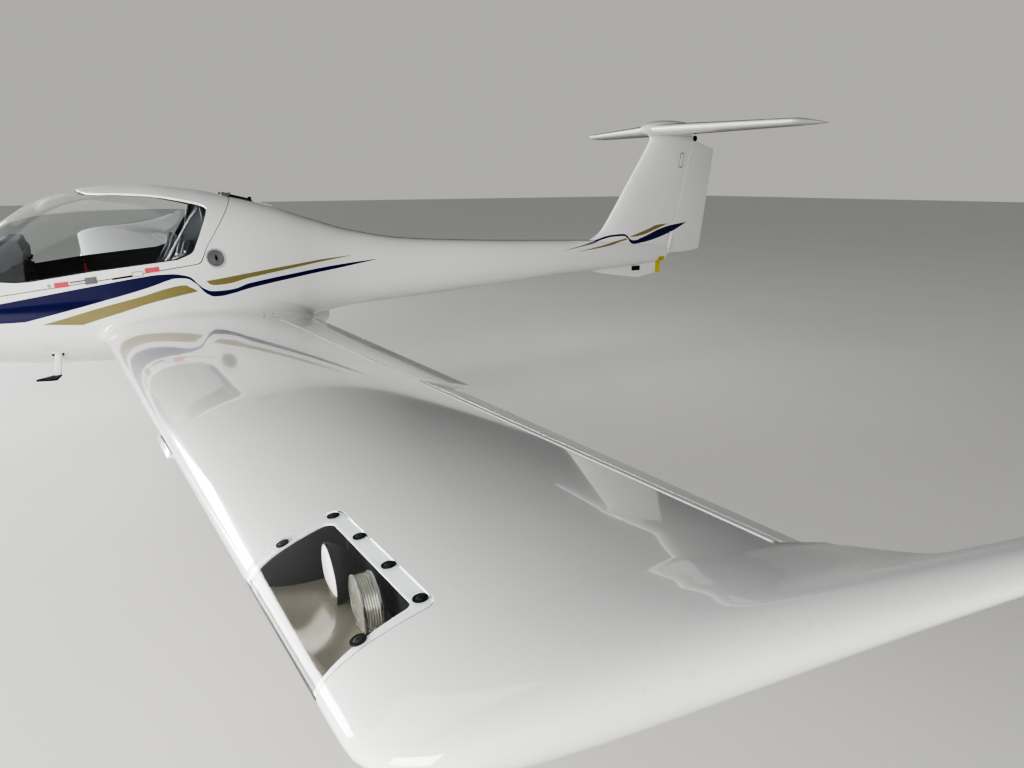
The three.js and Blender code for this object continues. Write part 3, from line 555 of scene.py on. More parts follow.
def plainFinish(name):
    # One surface with broken-up roughness, slight colour change and fine bump
    spec = finishes[name]
    material, tree, shader = newMaterial(name, spec["color"], 0.5, spec.get("metal", 0.0))
    shader.inputs["Specular IOR Level"].default_value = spec.get("specular", 0.5)
    grain = noiseAt(tree, spec["scale"], 4, 0.6)
    broad = noiseAt(tree, spec["scale"] / 12, 3)
    darker = tuple(value * 0.78 for value in spec["color"])
    lighter = tuple(min(1, value * 1.18) for value in spec["color"])
    mixInto(tree, shader, "Base Color", remap(tree, broad, 0.3, 0.7), darker, lighter)
    tree.links.new(remap(tree, grain, 0.3, 0.7, *spec["rough"]), shader.inputs["Roughness"])
    bumpFrom(tree, shader, grain, spec["bump"], 0.0006)
    return material


def clearFinish(name, tint, roughness=0.01):
    # Clear plastic that bends light little and lets lamps through
    material, tree, shader = newMaterial(name, tint, roughness)
    setInputs(shader, {"Transmission Weight": 1, "IOR": 1.3})
    smears = remap(tree, noiseAt(tree, 3, 5, 0.65, (1, 1, 2.5)), 0.55, 0.8, roughness, roughness + 0.03)
    tree.links.new(smears, shader.inputs["Roughness"])
    through = node(tree, "BsdfTransparent")
    through.inputs["Color"].default_value = (*tint, 1)
    path = node(tree, "LightPath")
    mix = node(tree, "MixShader")
    tree.links.new(path.outputs["Is Shadow Ray"], mix.inputs[0])
    tree.links.new(shader.outputs[0], mix.inputs[1])
    tree.links.new(through.outputs[0], mix.inputs[2])
    tree.links.new(mix.outputs[0], tree.nodes["Material Output"].inputs["Surface"])
    return material


# Wing, with every outline in stations
wingShape = {"rootChord": 1375, "taper": 0.1, "sweep": 0.0082, "leadHeight": 710, "dihedral": 0.0707,
             "thickness": 0.137, "camber": 0.02, "camberPlace": 0.45, "trailDrop": 0.0152,
             "stubEnd": 620, "start": 621.5, "flap": (856, 3120), "aileron": (3140, 4779),
             "hingeChord": 985, "hingeTaper": 0.0465, "hingeGap": 5,
             "columns": 132, "droop": 10, "reach": 560}
tipRows = [  # leading X and Y, trailing X and Y, rise, thickness
    (-39.3, 4790, -935, 4790, 0, 0.137),
    (-40.5, 4868, -968, 4838, 1, 0.135),
    (-60, 4928, -980, 4880, 7, 0.13),
    (-112, 4974, -998, 4925, 14, 0.125),
    (-205, 5008, -1030, 4965, 24, 0.12),
    (-420, 5060, -1085, 5015, 45, 0.115),
    (-690, 5130, -1150, 5085, 78, 0.11),
    (-920, 5212, -1212, 5185, 120, 0.105),
    (-1110, 5320, -1265, 5310, 172, 0.1),
    (-1205, 5390, -1288, 5392, 205, 0.1),
    (-1250, 5428, -1292, 5434, 222, 0.09),
]


def leadX(y):
    return -wingShape["sweep"] * y


def chordAt(y):
    return wingShape["rootChord"] - wingShape["taper"] * y


def leadZ(y):
    return wingShape["leadHeight"] + wingShape["dihedral"] * y


def straightRow(y):
    return (leadX(y), y, leadX(y) - chordAt(y), y, 0, wingShape["thickness"])


def halfThickness(u, thickness):
    return 5 * thickness * (0.2969 * math.sqrt(u) - 0.126 * u - 0.3516 * u ** 2
                            + 0.2843 * u ** 3 - 0.1036 * u ** 4)


def camberAt(u):
    peak, height = wingShape["camberPlace"], wingShape["camber"]
    if u < peak:
        return height / peak ** 2 * (2 * peak * u - u * u)
    return height / (1 - peak) ** 2 * (1 - 2 * peak + 2 * peak * u - u * u)


def wingPoint(row, angle, shrink=0):
    # Angle 0 is the trailing edge, a half turn the leading edge, and the upper side comes first
    frontX, frontY, backX, backY, rise, thickness = row
    chord = math.hypot(frontX - backX, frontY - backY)
    u = (1 + math.cos(angle)) / 2
    side = 1 if angle < math.pi else -1
    half = chord * halfThickness(u, thickness)
    inset = min(shrink, half * 0.9)
    y = frontY + (backY - frontY) * u
    lift = chord * (camberAt(u) - wingShape["trailDrop"] * u) + side * (half - inset)
    return frontX + (backX - frontX) * u - shrink * (1 - 2 * u), y, leadZ(y) + rise + lift


def wingSolid(rows, shrink=0):
    def place(u, v):
        return at(*wingPoint(rows[round(v * (len(rows) - 1))], 2 * math.pi * u % (2 * math.pi), shrink))

    return asObject("wingSolid", tube(wingShape["columns"], len(rows) - 1, place))


def tipSections(steps=46):
    # The tip's rows, read smoothly by the distance along its leading edge
    table, distance = [], 0
    for k, row in enumerate(tipRows):
        if k:
            distance += math.dist(row[:2], tipRows[k - 1][:2])
        table.append((distance, *row))
    table.insert(0, (-100, *straightRow(4690)))
    read = smoothTable(table)
    return [read(distance * (step / steps)) for step in range(steps + 1)]


def wingHinge(y):
    ahead = wingShape["hingeChord"] - wingShape["hingeTaper"] * (y - 618)
    u = ahead / chordAt(y)
    z = leadZ(y) + chordAt(y) * (camberAt(u) - wingShape["trailDrop"] * u)
    return at(leadX(y) - ahead, y, z), mm(chordAt(y) * halfThickness(u, wingShape["thickness"]) * 0.97)


def splitAtHinge(whole, start, end, radii, reach, gap):
    # Gives the part that turns, with its round nose, and the part that stays
    along = (end - start).normalized()
    aft = Vector((-1, 0, 0))
    aft = (aft - along * aft.dot(along)).normalized()
    axes = Matrix((along, aft, along.cross(aft))).transposed().to_4x4()

    def behind(room):
        bm = bmesh.new()
        middle = (start + end) / 2 + aft * reach / 2
        block(bm, middle, ((end - start).length + 2 * room, reach, 0.5), axes)
        return asObject("behind", bm)

    def nose(room):
        return rodTool(start - along * room, end + along * room, radii[0] + room, radii[1] + room)

    moving = join(keep(copyOf(whole), behind(0)), nose(0))
    fixed = cut(whole, behind(gap), nose(gap))
    return moving, fixed


def turnAbout(piece, place, axis, degrees):
    bm = bmesh.new()
    bm.from_mesh(piece.data)
    bmesh.ops.rotate(bm, cent=place, matrix=Matrix.Rotation(math.radians(degrees), 3, axis), verts=bm.verts)
    bm.to_mesh(piece.data)
    bm.free()
    return piece


def makeWings():
    spans = [wingShape["start"], *(700 + 200 * k for k in range(21))]
    whole = wingSolid([straightRow(y) for y in spans if y < 4780] + tipSections())
    pieces = {}
    for name in ("flap", "aileron"):
        inner, outer = wingShape[name]
        (start, startRadius), (end, endRadius) = wingHinge(inner), wingHinge(outer)
        pieces[name], whole = splitAtHinge(whole, start, end, (startRadius, endRadius),
                                           mm(wingShape["reach"]), mm(wingShape["hingeGap"]))
    pieces["wing"] = whole
    rightWing = mirrorOf(whole)
    rightAileron = copyOf(pieces["aileron"])
    start, _ = wingHinge(wingShape["aileron"][0])
    end, _ = wingHinge(wingShape["aileron"][1])
    turnAbout(pieces["aileron"], start, end - start, -wingShape["droop"])
    turnAbout(rightAileron, start, end - start, wingShape["droop"])
    rightFlap = mirrorOf(pieces["flap"])
    cutLandingLight(pieces["wing"])
    for side, wing, flap, aileron in (("left", pieces["wing"], pieces["flap"], pieces["aileron"]),
                                      ("right", rightWing, rightFlap, mirrorOf(rightAileron))):
        finish(wing, "wingPanel." + side, "whitePaint", "white_paint", ["wing_" + side])
        finish(flap, "flap." + side, "whitePaint", "white_paint", ["flap_" + side],
               body="flap_" + side + "_body")
        finish(aileron, "aileron." + side, "whitePaint", "white_paint", ["aileron_" + side],
               body="aileron_" + side + "_body")
    bpy.data.objects.remove(rightAileron)
    print("wings made")


# Landing light in the left wing: a clear cover flush with the skin over a dark pocket with two lamps
landingLight = {
    "cover": [(90, 4388), (-40, 4371), (-213, 4318, 22), (-213, 4738, 22), (-40, 4762), (90, 4775)],
    "opening": [(90, 4398), (-60, 4388), (-187, 4361, 18), (-187, 4716, 16), (-60, 4745), (90, 4760)],
    "pocket": [(90, 4397), (-60, 4387), (-222, 4354, 10), (-222, 4724, 10), (-60, 4746), (90, 4761)],
    "inside": [(120, 4405), (-60, 4392), (-217, 4358, 8), (-217, 4719, 8), (-60, 4740), (120, 4752)],
    "thick": 4, "seam": 1.1, "skin": 7, "through": (850, 1300), "forward": (1, -0.08, -0.05),
    "screws": [(-195, 4346), (-202, 4462), (-202, 4589), (-200, 4710), (-100, 4368), (-104, 4733)],
    "lamps": ((-152, 4447, 50), (-156, 4574, 43)), "lampLow": 5, "barrel": 27}


def insetOutline(points, distance):
    # Moves every edge of an outline inwards, or outwards where the distance is negative
    middle = Vector((sum(p[0] for p in points), sum(p[1] for p in points))) / len(points)
    moved = []
    for k, point in enumerate(points):
        corner = Vector(point[:2])
        before = (Vector(points[k - 1][:2]) - corner).normalized()
        after = (Vector(points[(k + 1) % len(points)][:2]) - corner).normalized()
        bisector = before + after
        if bisector.length < 1e-3:
            bisector = Vector((-before.y, before.x))
            if bisector.dot(middle - corner) < 0:
                bisector.negate()
        turn = before.cross(after)
        inward = bisector.normalized()
        half = max(before.angle(after) / 2, 0.05)
        sign = 1 if inward.dot(middle - corner) > 0 or abs(turn) < 1e-3 else -1
        corner = corner + inward * sign * distance / math.sin(half)
        moved.append((*corner, max(point[2] - sign * distance, 2)) if len(point) > 2 else tuple(corner))
    return moved


def wingUnder(depth=0.0, low=4200, high=4786):
    # The wing around the light, drawn in by a depth
    return wingSolid([straightRow(low + (high - low) * k / 8) for k in range(9)], depth)


def lightPrism(points):
    return prism(points, *landingLight["through"], "plan")


def cutLandingLight(wing):
    spec = landingLight
    seat = wingUnder(spec["thick"] + 0.6)
    recess = cut(lightPrism(insetOutline(spec["cover"], -spec["seam"])), seat)
    pocket = keep(lightPrism(spec["pocket"]), wingUnder(spec["skin"]))
    cut(wing, recess, lightPrism(spec["opening"]), pocket)


def makeLandingLight():
    spec = landingLight
    shell = cut(wingUnder(), wingUnder(spec["thick"], 4190, 4788))
    cover = keep(shell, lightPrism(spec["cover"]))
    finish(cover, "landingLightCover", "clearPlastic", "clear_glass", ["landing_light_cover"])

    liner = cut(lightPrism(insetOutline(spec["pocket"], 0.6)), prism(spec["inside"], 840, 1310, "plan"))
    liner = keep(liner, wingUnder(spec["skin"] + 0.4))
    finish(liner, "landingLightWell", "blackTrim", "cabin_black")

    # The pocket's floor gets a beige tone that paints the hangar floor's reflection
    floor = cut(wingUnder(spec["skin"] + 0.5), wingUnder(spec["skin"] + 3))
    floor = keep(floor, prism(insetOutline(spec["inside"], 1), 850, 1024, "plan"))
    finish(floor, "landingLightFloor", "wellFloorReflection", "cabin_grey")
    film = cut(wingUnder(4.1), wingUnder(4.5))
    film = keep(film, lightPrism(insetOutline(spec["cover"], 2.5)))
    film = cut(film, lightPrism(insetOutline(spec["opening"], -1.5)))
    finish(film, "landingLightSeat", "coverSeat", "cabin_grey")

    # The inner lamp has a pale face in a dark bowl, the outer one a ribbed lens in a bright ring. The inner
    # face's white colour paints the bright highlight of its reflector, and its lower third is darker as
    # painted shade
    forward = Vector(spec["forward"]).normalized()
    (innerX, innerY, innerRadius), (outerX, outerY, outerRadius) = spec["lamps"]
    middle = at(innerX, innerY, leadZ(innerY) + spec["lampLow"])
    r = innerRadius
    face = lathe([(0, 3.2), (r * 0.5, 2.6), (r * 0.8, 1.2), (r * 0.97, -1.4), (r * 0.97, -3), (0, -3)],
                 middle, forward, 72)
    face = asObject("face", face)
    # Split a third of the way below the middle: the pale part above paints the highlight, the darker part
    # below paints shade
    top = boxTool((-300, 4300, middle.z * 1000 - r * 0.36), (0, 4600, 1200))
    low = cut(copyOf(face), copyOf(top))
    finish(keep(face, top), "landingLampFacePaintedHighlight", "frostedLens", "clear_glass")
    finish(low, "landingLampFacePaintedShade", "ribbedLens", "clear_glass")
    bowl = lathe([(r * 0.98, -1.6), (r + 1, -1), (r + 2, -2.4), (r + 1, -9), (r * 0.86, -24), (r * 0.6, -36),
                  (22, -44), (0, -44), (0, -40), (20, -40), (r * 0.8, -24), (r * 0.98, -6)], middle, forward,
                 72)
    # A dark post under the bowl stands for its mount and also paints the bowl's shadow below it
    foot = middle - forward * 0.03
    rodMesh(bowl, foot - Vector((0, 0, 0.03)), foot - Vector((0, 0, 0.072)), 0.02, 0.026, 32)
    finish(bowl, "landingLampBowlAndShadowPost", "blackTrim", "cabin_black")

    middle = at(outerX, outerY, leadZ(outerY) + spec["lampLow"])
    r, long = outerRadius, spec["barrel"]
    ribs = [(r + 1.6 - (1.1 if k % 2 else 0), -1.5 - (long - 4) * k / 12) for k in range(13)]
    lens = [(0, 2), (r * 0.6, 1.5), (r * 0.92, 0.4), (r, -0.6), *ribs, (r - 3, -long + 2), (0, -long + 2)]
    finish(lathe(lens, middle, forward, 96), "landingLampLens", "ribbedLens", "clear_glass")
    rings = lathe([(r + 0.4, 1), (r + 2.4, 0.4), (r + 2.8, -1), (r + 2.2, -2.6), (r + 0.4, -2.6)], middle,
                  forward, 96)
    copyInto(rings, lathe([(r + 0.2, -long + 2), (r + 2.6, -long + 2), (r + 2.6, -long - 1.5),
                           (r * 0.9, -long - 7), (16, -long - 12), (0, -long - 12), (0, -long - 8),
                           (r + 0.2, -long - 3)], middle, forward, 96))
    for turn in (-0.5, -0.8):
        side = Vector((0, math.cos(turn), math.sin(turn)))
        spot = middle + side * mm(r + 3) - forward * 0.012
        rodMesh(rings, spot - side * 0.004, spot + side * 0.002, 0.0035, segments=12)
    finish(rings, "landingLamps", "brushedMetal", "steel", ["landing_lamps"])

    bm = bmesh.new()
    low, high = at(-212, 4380, 1010), at(-208, 4700, 1062)
    block(bm, (low + high) / 2, high - low)
    for x, y, _ in spec["lamps"]:
        rodMesh(bm, at(-209, y, leadZ(y) + 8), at(x - 38, y, leadZ(y) + 8), 0.014)
    finish(bm, "landingLightMount", "blackTrim", "steel")

    # Each screw head sits in a dark ring that paints the shade of its countersunk recess, with a dark cross
    # that paints the shade in its slot
    recessShades, heads = bmesh.new(), bmesh.new()
    for x, y in spec["screws"]:
        angle = math.acos(max(-1, min(1, 2 * (leadX(y) - x) / chordAt(y) - 1)))
        place = at(*wingPoint(straightRow(y), angle))
        ahead = at(*wingPoint(straightRow(y), angle - 0.02))
        beside = at(*wingPoint(straightRow(y + 10), angle))
        normal = (ahead - place).cross(beside - place).normalized()
        normal = normal if normal.z > 0 else -normal
        copyInto(recessShades, lathe([(0, -3), (11, -3), (11, 0.5), (10, 0.9), (7, 0.1), (0, 0.1)], place, normal,
                                32))
        copyInto(heads, lathe([(0, 0), (6.4, 0), (6.4, 0.4), (5.4, 0.8), (0, 0.8)], place, normal, 28))
        for long, wide in ((0.007, 0.0012), (0.0012, 0.007)):
            block(recessShades, place + normal * 0.0008, (long, wide, 0.0006), facing(normal))
    finish(recessShades, "landingLightScrewShades", "blackTrim", "cabin_black")
    finish(heads, "landingLightScrews", "blackScrew", "steel")
    print("landing light made")


# Fuselage sections: station, top, bottom, half width, height of the widest line
hullRows = [
    (1612, 1120, 1000, 70, 1050), (1608, 1160, 950, 130, 1048), (1600, 1184, 905, 185, 1044),
    (1586, 1200, 866, 236, 1038), (1556, 1213, 834, 284, 1032), (1480, 1226, 785, 342, 1022),
    (1300, 1233, 705, 430, 1005), (1100, 1236, 657, 490, 985), (890, 1237, 624, 530, 965),
    (745, 1240, 607, 548, 952), (600, 1304, 594, 560, 942), (442, 1415, 576, 570, 930),
    (273, 1523, 553, 578, 918), (120, 1581, 541, 583, 910), (-100, 1621, 530, 587, 904),
    (-345, 1632, 519, 580, 902), (-600, 1607, 520, 556, 906), (-860, 1557, 545, 505, 925),
    (-1160, 1479, 625, 420, 965), (-1400, 1398, 704, 345, 985), (-1700, 1305, 748, 280, 995),
    (-2116, 1229, 768, 228, 998), (-2600, 1193, 793, 195, 1000), (-3100, 1168, 820, 170, 1002),
    (-3500, 1152, 847, 150, 1003), (-3900, 1136, 864, 128, 1003), (-4400, 1110, 885, 92, 1002),
    (-4785, 1075, 915, 52, 1000),
]
hullAt = smoothTable(hullRows)
hull = {"power": 2.25, "skin": 12, "glass": 5, "firewall": 890, "tail": -4785, "nose": 1612, "around": 112,
        "cowlSkin": 8, "cowlSplit": 1012}


def hullPoint(x, angle, grow=0.0):
    # Angle 0 is the left side, a quarter turn the top
    top, bottom, half, widest = hullAt(x)
    up = math.sin(angle)
    height = (top - widest if up > 0 else widest - bottom) + grow
    return (x, (half + grow) * rounded(math.cos(angle), hull["power"]),
            widest + height * rounded(up, hull["power"]))


def hullStations(front, back):
    stations, x = [], front
    while x > back + 4:
        stations.append(x)
        x -= 3 if x > 1590 else 10 if x > 1500 else 26 if x > -1100 else 48
    return stations + [back]


def hullSolid(grow, front, back, around=None):
    stations = hullStations(front, back)

    def place(u, v):
        return at(*hullPoint(stations[round(v * (len(stations) - 1))], 2 * math.pi * (u % 1), grow))

    return asObject("hullSolid", tube(around or hull["around"], len(stations) - 1, place))


# Fin rows: height, leading edge X, trailing edge X, with a hollow curve into the tail boom
finSpec = {"thickness": 0.1, "top": 2040, "hingeLow": (-4812, 0, 975), "hingeHigh": (-5062, 0, 2006),
           "rudderGap": 4.5, "lead": (-4000, 1135, 0.663), "trail": (-5250, 1135, 0.128),
           "hinge": (-4812, 975, 0.2425)}
finRows = [(985, -3730, -5230), (1060, -3772, -5240), (1110, -3840, -5247), (1145, -3935, -5251),
           (1175, -3995, -5255), (1215, -4045, -5260), (1300, -4109, -5271), (1600, -4308, -5310),
           (1900, -4507, -5348), (1975, -4554, -5358), (2005, -4566, -5362),
           (2025, -4560, -5364), (2040, -4532, -5366)]
finAt = smoothTable(finRows)


def finLine(name, z):
    # Where one of the fin's straight lines lies at a height
    x, foot, slope = finSpec[name]
    return x - (z - foot) * slope


def finSolid():
    heights = [985 + 12 * k for k in range(22)] + [1260 + 60 * k for k in range(12)]
    heights += [1975, 1990, 2005, 2014, 2022, 2029, 2035, 2040]

    def place(u, v):
        z = heights[round(v * (len(heights) - 1))]
        lead, trail = finAt(z)
        share = (1 + math.cos(2 * math.pi * u)) / 2
        # The root's fillet draws the nose out ahead of the section, so it also gets thin there
        chord = lead - trail
        straight = finLine("lead", z) - trail
        thick = straight * halfThickness(share, finSpec["thickness"]) * (1 if u < 0.5 else -1)
        return at(lead - chord * share, thick, z)

    return asObject("finSolid", tube(84, len(heights) - 1, place))


def finHalf(z):
    lead, trail = finLine("lead", z), finLine("trail", z)
    share = (lead - finLine("hinge", z)) / (lead - trail)
    return (lead - trail) * halfThickness(share, finSpec["thickness"]) * 0.97


# Canopy: its edge in the side view, the edge of its glass, and the white strip left along the roof
canopy = {"hinge": (-862, 1566), "sillAft": (-560, 1158), "sillFront": (882, 992), "gap": 4.5,
          "hingeSides": (1, -1)}
glassEdge = [(742, 1800), (742, 1262), (700, 1214), (640, 1172), (560, 1139), (461, 1113), (398, 1106),
             (331, 1107), (23, 1146), (-368, 1181), (-450, 1188, 60), (-545, 1222, 70), (-690, 1497),
             (-700, 1800)]
roofEdge = [(25, 0), (18, 90), (0, 155), (-25, 205), (-90, 232), (-163, 241), (-260, 258), (-386, 275),
            (-614, 298), (-652, 304), (-670, 312), (-681, 328), (-686, 350)]


def canopyEdge(gap):
    (hingeX, hingeZ), (aftX, aftZ), (frontX, frontZ) = canopy["hinge"], canopy["sillAft"], canopy["sillFront"]
    return [(hingeX - gap * 1.3, hingeZ + 60), (hingeX - gap * 1.3, hingeZ - 20),
            (aftX - 75 - gap, aftZ + 100, 260), (aftX - 25 - gap, aftZ - 2 - gap, 46),
            (frontX + gap, frontZ - gap, 18), (frontX + gap, 1700), (hingeX - gap * 1.3, 1700)]


def roofPrism(room):
    half = [(x + (room if y < 160 else 0), y - (room if y > 160 else 0)) for x, y in roofEdge]
    return prism([(x, y) for x, y in half] + [(-900, 350), (-900, -350)]
                 + [(x, -y) for x, y in reversed(half[1:])], 1380, 1800, "plan")


def makeAirframe():
    outer = hullSolid(0, hull["firewall"], hull["tail"])
    stub = wingSolid([straightRow(y) for y in (330, 430, 530, wingShape["stubEnd"])])
    rudder, fin = splitAtHinge(finSolid(), at(*finSpec["hingeLow"]), at(*finSpec["hingeHigh"]),
                               (mm(finHalf(975)), mm(finHalf(2006))), 0.56, mm(finSpec["rudderGap"]))
    rudder = cut(rudder, prism([(-4780, 900), (-5300, 900), (-5300, 1012), (-4815, 962)], -200, 200))
    fin = cut(fin, prism([(-5110, 900), (-5500, 900), (-5500, 2100), (-5110, 2100)], -200, 200))
    hingeX, gap = finSpec["hingeLow"][0], finSpec["rudderGap"]
    cove = rodTool(at(hingeX + 9, 0, 940), at(hingeX - 10, 0, 1200), mm(finHalf(975) + gap),
                   mm(finHalf(1100) + gap))
    shell = join(outer, fin, stub, mirrorOf(stub))
    shell = cut(shell, cove, hullSolid(-hull["skin"], hull["firewall"] - 14, -4300, 88), prism(canopyEdge(0)))
    for side in canopy["hingeSides"]:
        shell = cut(shell, hingeBox(side, 54, 96, -8, 24, 42))
    finish(shell, "fuselageShell", "stripedPaint", "white_paint", ["fuselage"])
    finish(rudder, "rudder", "finPaint", "white_paint", ["rudder"], body="rudder_body")
    print("fuselage, fin and rudder made")


def hingeBox(side, inner, outer, low, high, depth):
    x, z = canopy["hinge"]
    ends = sorted((side * inner, side * outer))
    return boxTool((x + low, ends[0], z - depth), (x + high, ends[1], z + 8))


def makeCanopy():
    edge = canopyEdge(-canopy["gap"])
    shell = cut(hullSolid(0, 885, -900), hullSolid(-hull["skin"], 900, -920))
    opening = cut(prism(insetOutline(glassEdge, -0.5)), roofPrism(-0.5))
    canopyFrame = cut(keep(shell, prism(edge)), opening)
    finish(canopyFrame, "canopyFrame", "stripedPaint", "white_paint", ["canopy_frame"], body="canopy")
    shell = cut(hullSolid(-0.4, 885, -900), hullSolid(-hull["glass"] - 0.4, 900, -920))
    window = cut(prism(glassEdge), roofPrism(0))
    glass = keep(keep(shell, window), prism(edge))
    finish(glass, "canopyGlass", "clearPlastic", "clear_glass", ["canopy_glass"], body="canopy")
    for side in canopy["hingeSides"]:
        x, z = canopy["hinge"]
        arm = rodTool(at(x, side * 61, z), at(x, side * 89, z), 0.010, segments=32)
        arm = join(arm, hingeBox(side, 61, 89, 2, 40, 30))
        finish(arm, "canopyHingeArm", "engineMetal", "steel", body="canopy")
        bm = bmesh.new()
        rodMesh(bm, at(x, side * 97, z), at(x, side * 121, z), 0.011)
        rodMesh(bm, at(x, side * 50, z), at(x, side * 126, z), 0.0045, segments=20)
        finish(bm, "canopyHingePin", "engineMetal", "steel")
    print("canopy made")


# Cowling in two halves, with a round front, two air intakes and an outlet under the firewall
cowling = {"intakeY": 158, "intakeZ": 1062, "intakeWide": 150, "intakeHigh": 96, "intakeRound": 40,
           "shaft": 96, "outletHalf": 150, "screwPitch": 95, "seam": 0.9}


def makeCowling():
    shell = cut(hullSolid(0, hull["nose"], hull["firewall"] + 1.2),
                hullSolid(-hull["cowlSkin"], hull["nose"] - 9, hull["firewall"] - 60, 88))
    wide, high = cowling["intakeWide"] / 2, cowling["intakeHigh"] / 2
    cuts = []
    for side in (1, -1):
        y, z, r = side * cowling["intakeY"], cowling["intakeZ"], cowling["intakeRound"]
        corners = roundOutline([(y - wide, z - high, r), (y + wide, z - high, r), (y + wide, z + high, r),
                                (y - wide, z + high, r)])
        cuts.append(spread([at(1480, a, b) for a, b in corners], (0.2, 0, 0)))
    cuts.append(rodTool(at(1520, 0, 1075), at(1680, 0, 1075), mm(cowling["shaft"])))
    cuts.append(boxTool((hull["firewall"] - 5, -cowling["outletHalf"], 500),
                        (hull["firewall"] + 90, cowling["outletHalf"], 700)))
    shell = cut(shell, *cuts)
    split, seam = hull["cowlSplit"], cowling["seam"]
    upper = keep(copyOf(shell), boxTool((800, -900, split + seam), (1750, 900, 1500)))
    lower = keep(shell, boxTool((800, -900, 400), (1750, 900, split - seam)))
    finish(upper, "cowlingUpper", "stripedPaint", "white_paint", ["cowling_upper"])
    finish(lower, "cowlingLower", "stripedPaint", "white_paint", ["cowling_lower"])
    bm = bmesh.new()
    for side in (1, -1):
        for k in range(7):
            for z in (split + 22, split - 22):
                addScrew(bm, 930 + k * cowling["screwPitch"], z, side)
    finish(bm, "cowlingScrews", "brushedMetal", "steel")
    print("cowling made")


def hullSide(x, z, side=1, grow=0.0):
    # The point of the skin at one station and height, and its outward direction
    low, high = (at(*skinPoint(x, z + step, side)) for step in (-2, 2))
    back, front = (at(*skinPoint(x + step, z, side)) for step in (-4, 4))
    normal = (high - low).cross(front - back).normalized()
    if normal.y * side < 0:
        normal.negate()
    return at(*skinPoint(x, z, side)) + normal * mm(grow), normal


def skinPoint(x, z, side):
    top, bottom, half, widest = hullAt(x)
    reach = top - widest if z > widest else widest - bottom
    share = max(0.0, 1 - (abs(z - widest) / reach) ** hull["power"])
    return x, side * half * share ** (1 / hull["power"]), z


def addScrew(bm, x, z, side, radius=0.006):
    place, normal = hullSide(x, z, side)
    rodMesh(bm, place - normal * 0.002, place + normal * 0.0009, radius, radius * 0.9, 20)


# Tailplane with its elevator, and the fairing on the fin's top
tail = {"height": 2090, "half": 1355, "lead": -4506, "sweep": 0.2514, "trail": -5290, "thickness": 0.125,
        "hingeX": -5075, "elevatorEnd": 1300, "tipRound": 75, "gap": 4}
podRows = [(-4446, 3, 3, 2086), (-4454, 16, 12, 2087), (-4476, 36, 27, 2088), (-4520, 62, 46, 2091),
           (-4600, 88, 64, 2094), (-4700, 104, 74, 2095), (-4800, 108, 76, 2095), (-4920, 99, 72, 2093),
           (-5014, 85, 64, 2091)]


def tailplaneSolid():
    half, roundness = tail["half"], tail["tipRound"]
    spans = [half - roundness * (1 - math.sin(math.pi / 2 * k / 9)) for k in range(10)]
    inner = [half * k / 12 for k in range(-11, 12) if abs(half * k / 12) < half - 80]
    spans = [-y for y in reversed(spans)] + inner + spans

    def place(u, v):
        y = spans[round(v * (len(spans) - 1))]
        outside = max(0.0, abs(y) - (half - roundness)) / roundness
        tuck = 1 - math.sqrt(max(0.0, 1 - outside ** 2))
        lead = tail["lead"] - tail["sweep"] * abs(y) - tuck * 70
        trail = tail["trail"] + tuck * 45
        share = (1 + math.cos(2 * math.pi * u)) / 2
        full = tail["lead"] - tail["sweep"] * abs(y) - tail["trail"]
        thick = full * halfThickness(share, tail["thickness"]) * (1 if u < 0.5 else -1)
        flat = 0.12 + 0.88 * math.sqrt(max(0.0, 1 - outside ** 2))
        return at(lead - (lead - trail) * share, y, tail["height"] + thick * flat)

    return asObject("tailplaneSolid", tube(84, len(spans) - 1, place))


def elevatorHalf(y):
    lead = tail["lead"] - tail["sweep"] * y
    chord = lead - tail["trail"]
    return mm(chord * halfThickness((lead - tail["hingeX"]) / chord, tail["thickness"]) * 0.97)


def makeTail():
    whole = tailplaneSolid()
    halves = []
    for side in (1, -1):
        start = at(tail["hingeX"], 0, tail["height"])
        end = at(tail["hingeX"], side * tail["elevatorEnd"], tail["height"])
        moving, whole = splitAtHinge(whole, start, end, (elevatorHalf(0), elevatorHalf(tail["elevatorEnd"])),
                                     0.3, mm(tail["gap"]))
        halves.append(moving)
    elevator = join(*halves)
    podAt = smoothTable(podRows)
    stations = [-4446 - 568 * (k / 24) ** 1.6 for k in range(25)]

    def place(u, v):
        x = stations[round(v * 24)]
        wide, high, z = podAt(x)
        return at(x, wide * math.sin(2 * math.pi * u), z + high * math.cos(2 * math.pi * u))

    pod = cut(asObject("pod", tube(56, 24, place)),
              boxTool((-5300, -200, 1900), (-4300, 200, finSpec["top"] + 0.8)))
    fixed = join(whole, pod)
    finish(fixed, "tailplane", "whitePaint", "white_paint", ["horizontal_stabilizer"])
    finish(elevator, "elevator", "whitePaint", "white_paint", ["elevator"], body="elevator_body")
    print("tail made")


def limbSolid(rows, wideAxis, power=2.0, around=40, steps=48):
    # A limb through rows of (place in stations, half width, half thickness), read smoothly
    table, distance = [], 0.0
    for k, (place, wide, thick) in enumerate(rows):
        if k:
            distance += math.dist(place, rows[k - 1][0])
        table.append((distance, *place, wide, thick))
    read = smoothTable(table)
    across = Vector(wideAxis).normalized()

    def placed(u, v):
        x, y, z, wide, thick = read(distance * v)
        before, after = (Vector(read(distance * share)[:3]) for share in (max(v - 0.01, 0), min(v + 0.01, 1)))
        forward = (after - before).normalized()
        side = (across - forward * across.dot(forward)).normalized()
        angle = 2 * math.pi * (u % 1)
        offset = side * wide * rounded(math.cos(angle), power)
        offset += forward.cross(side) * thick * rounded(math.sin(angle), power)
        return at(*(Vector((x, y, z)) + offset))

    return asObject("limb", tube(around, steps, placed))


def skinHalf(x, z):
    return skinPoint(x, z, 1)[1]


def smoothStep(value, low, high):
    share = min(max((value - low) / (high - low), 0.0), 1.0)
    return share * share * (3 - 2 * share)


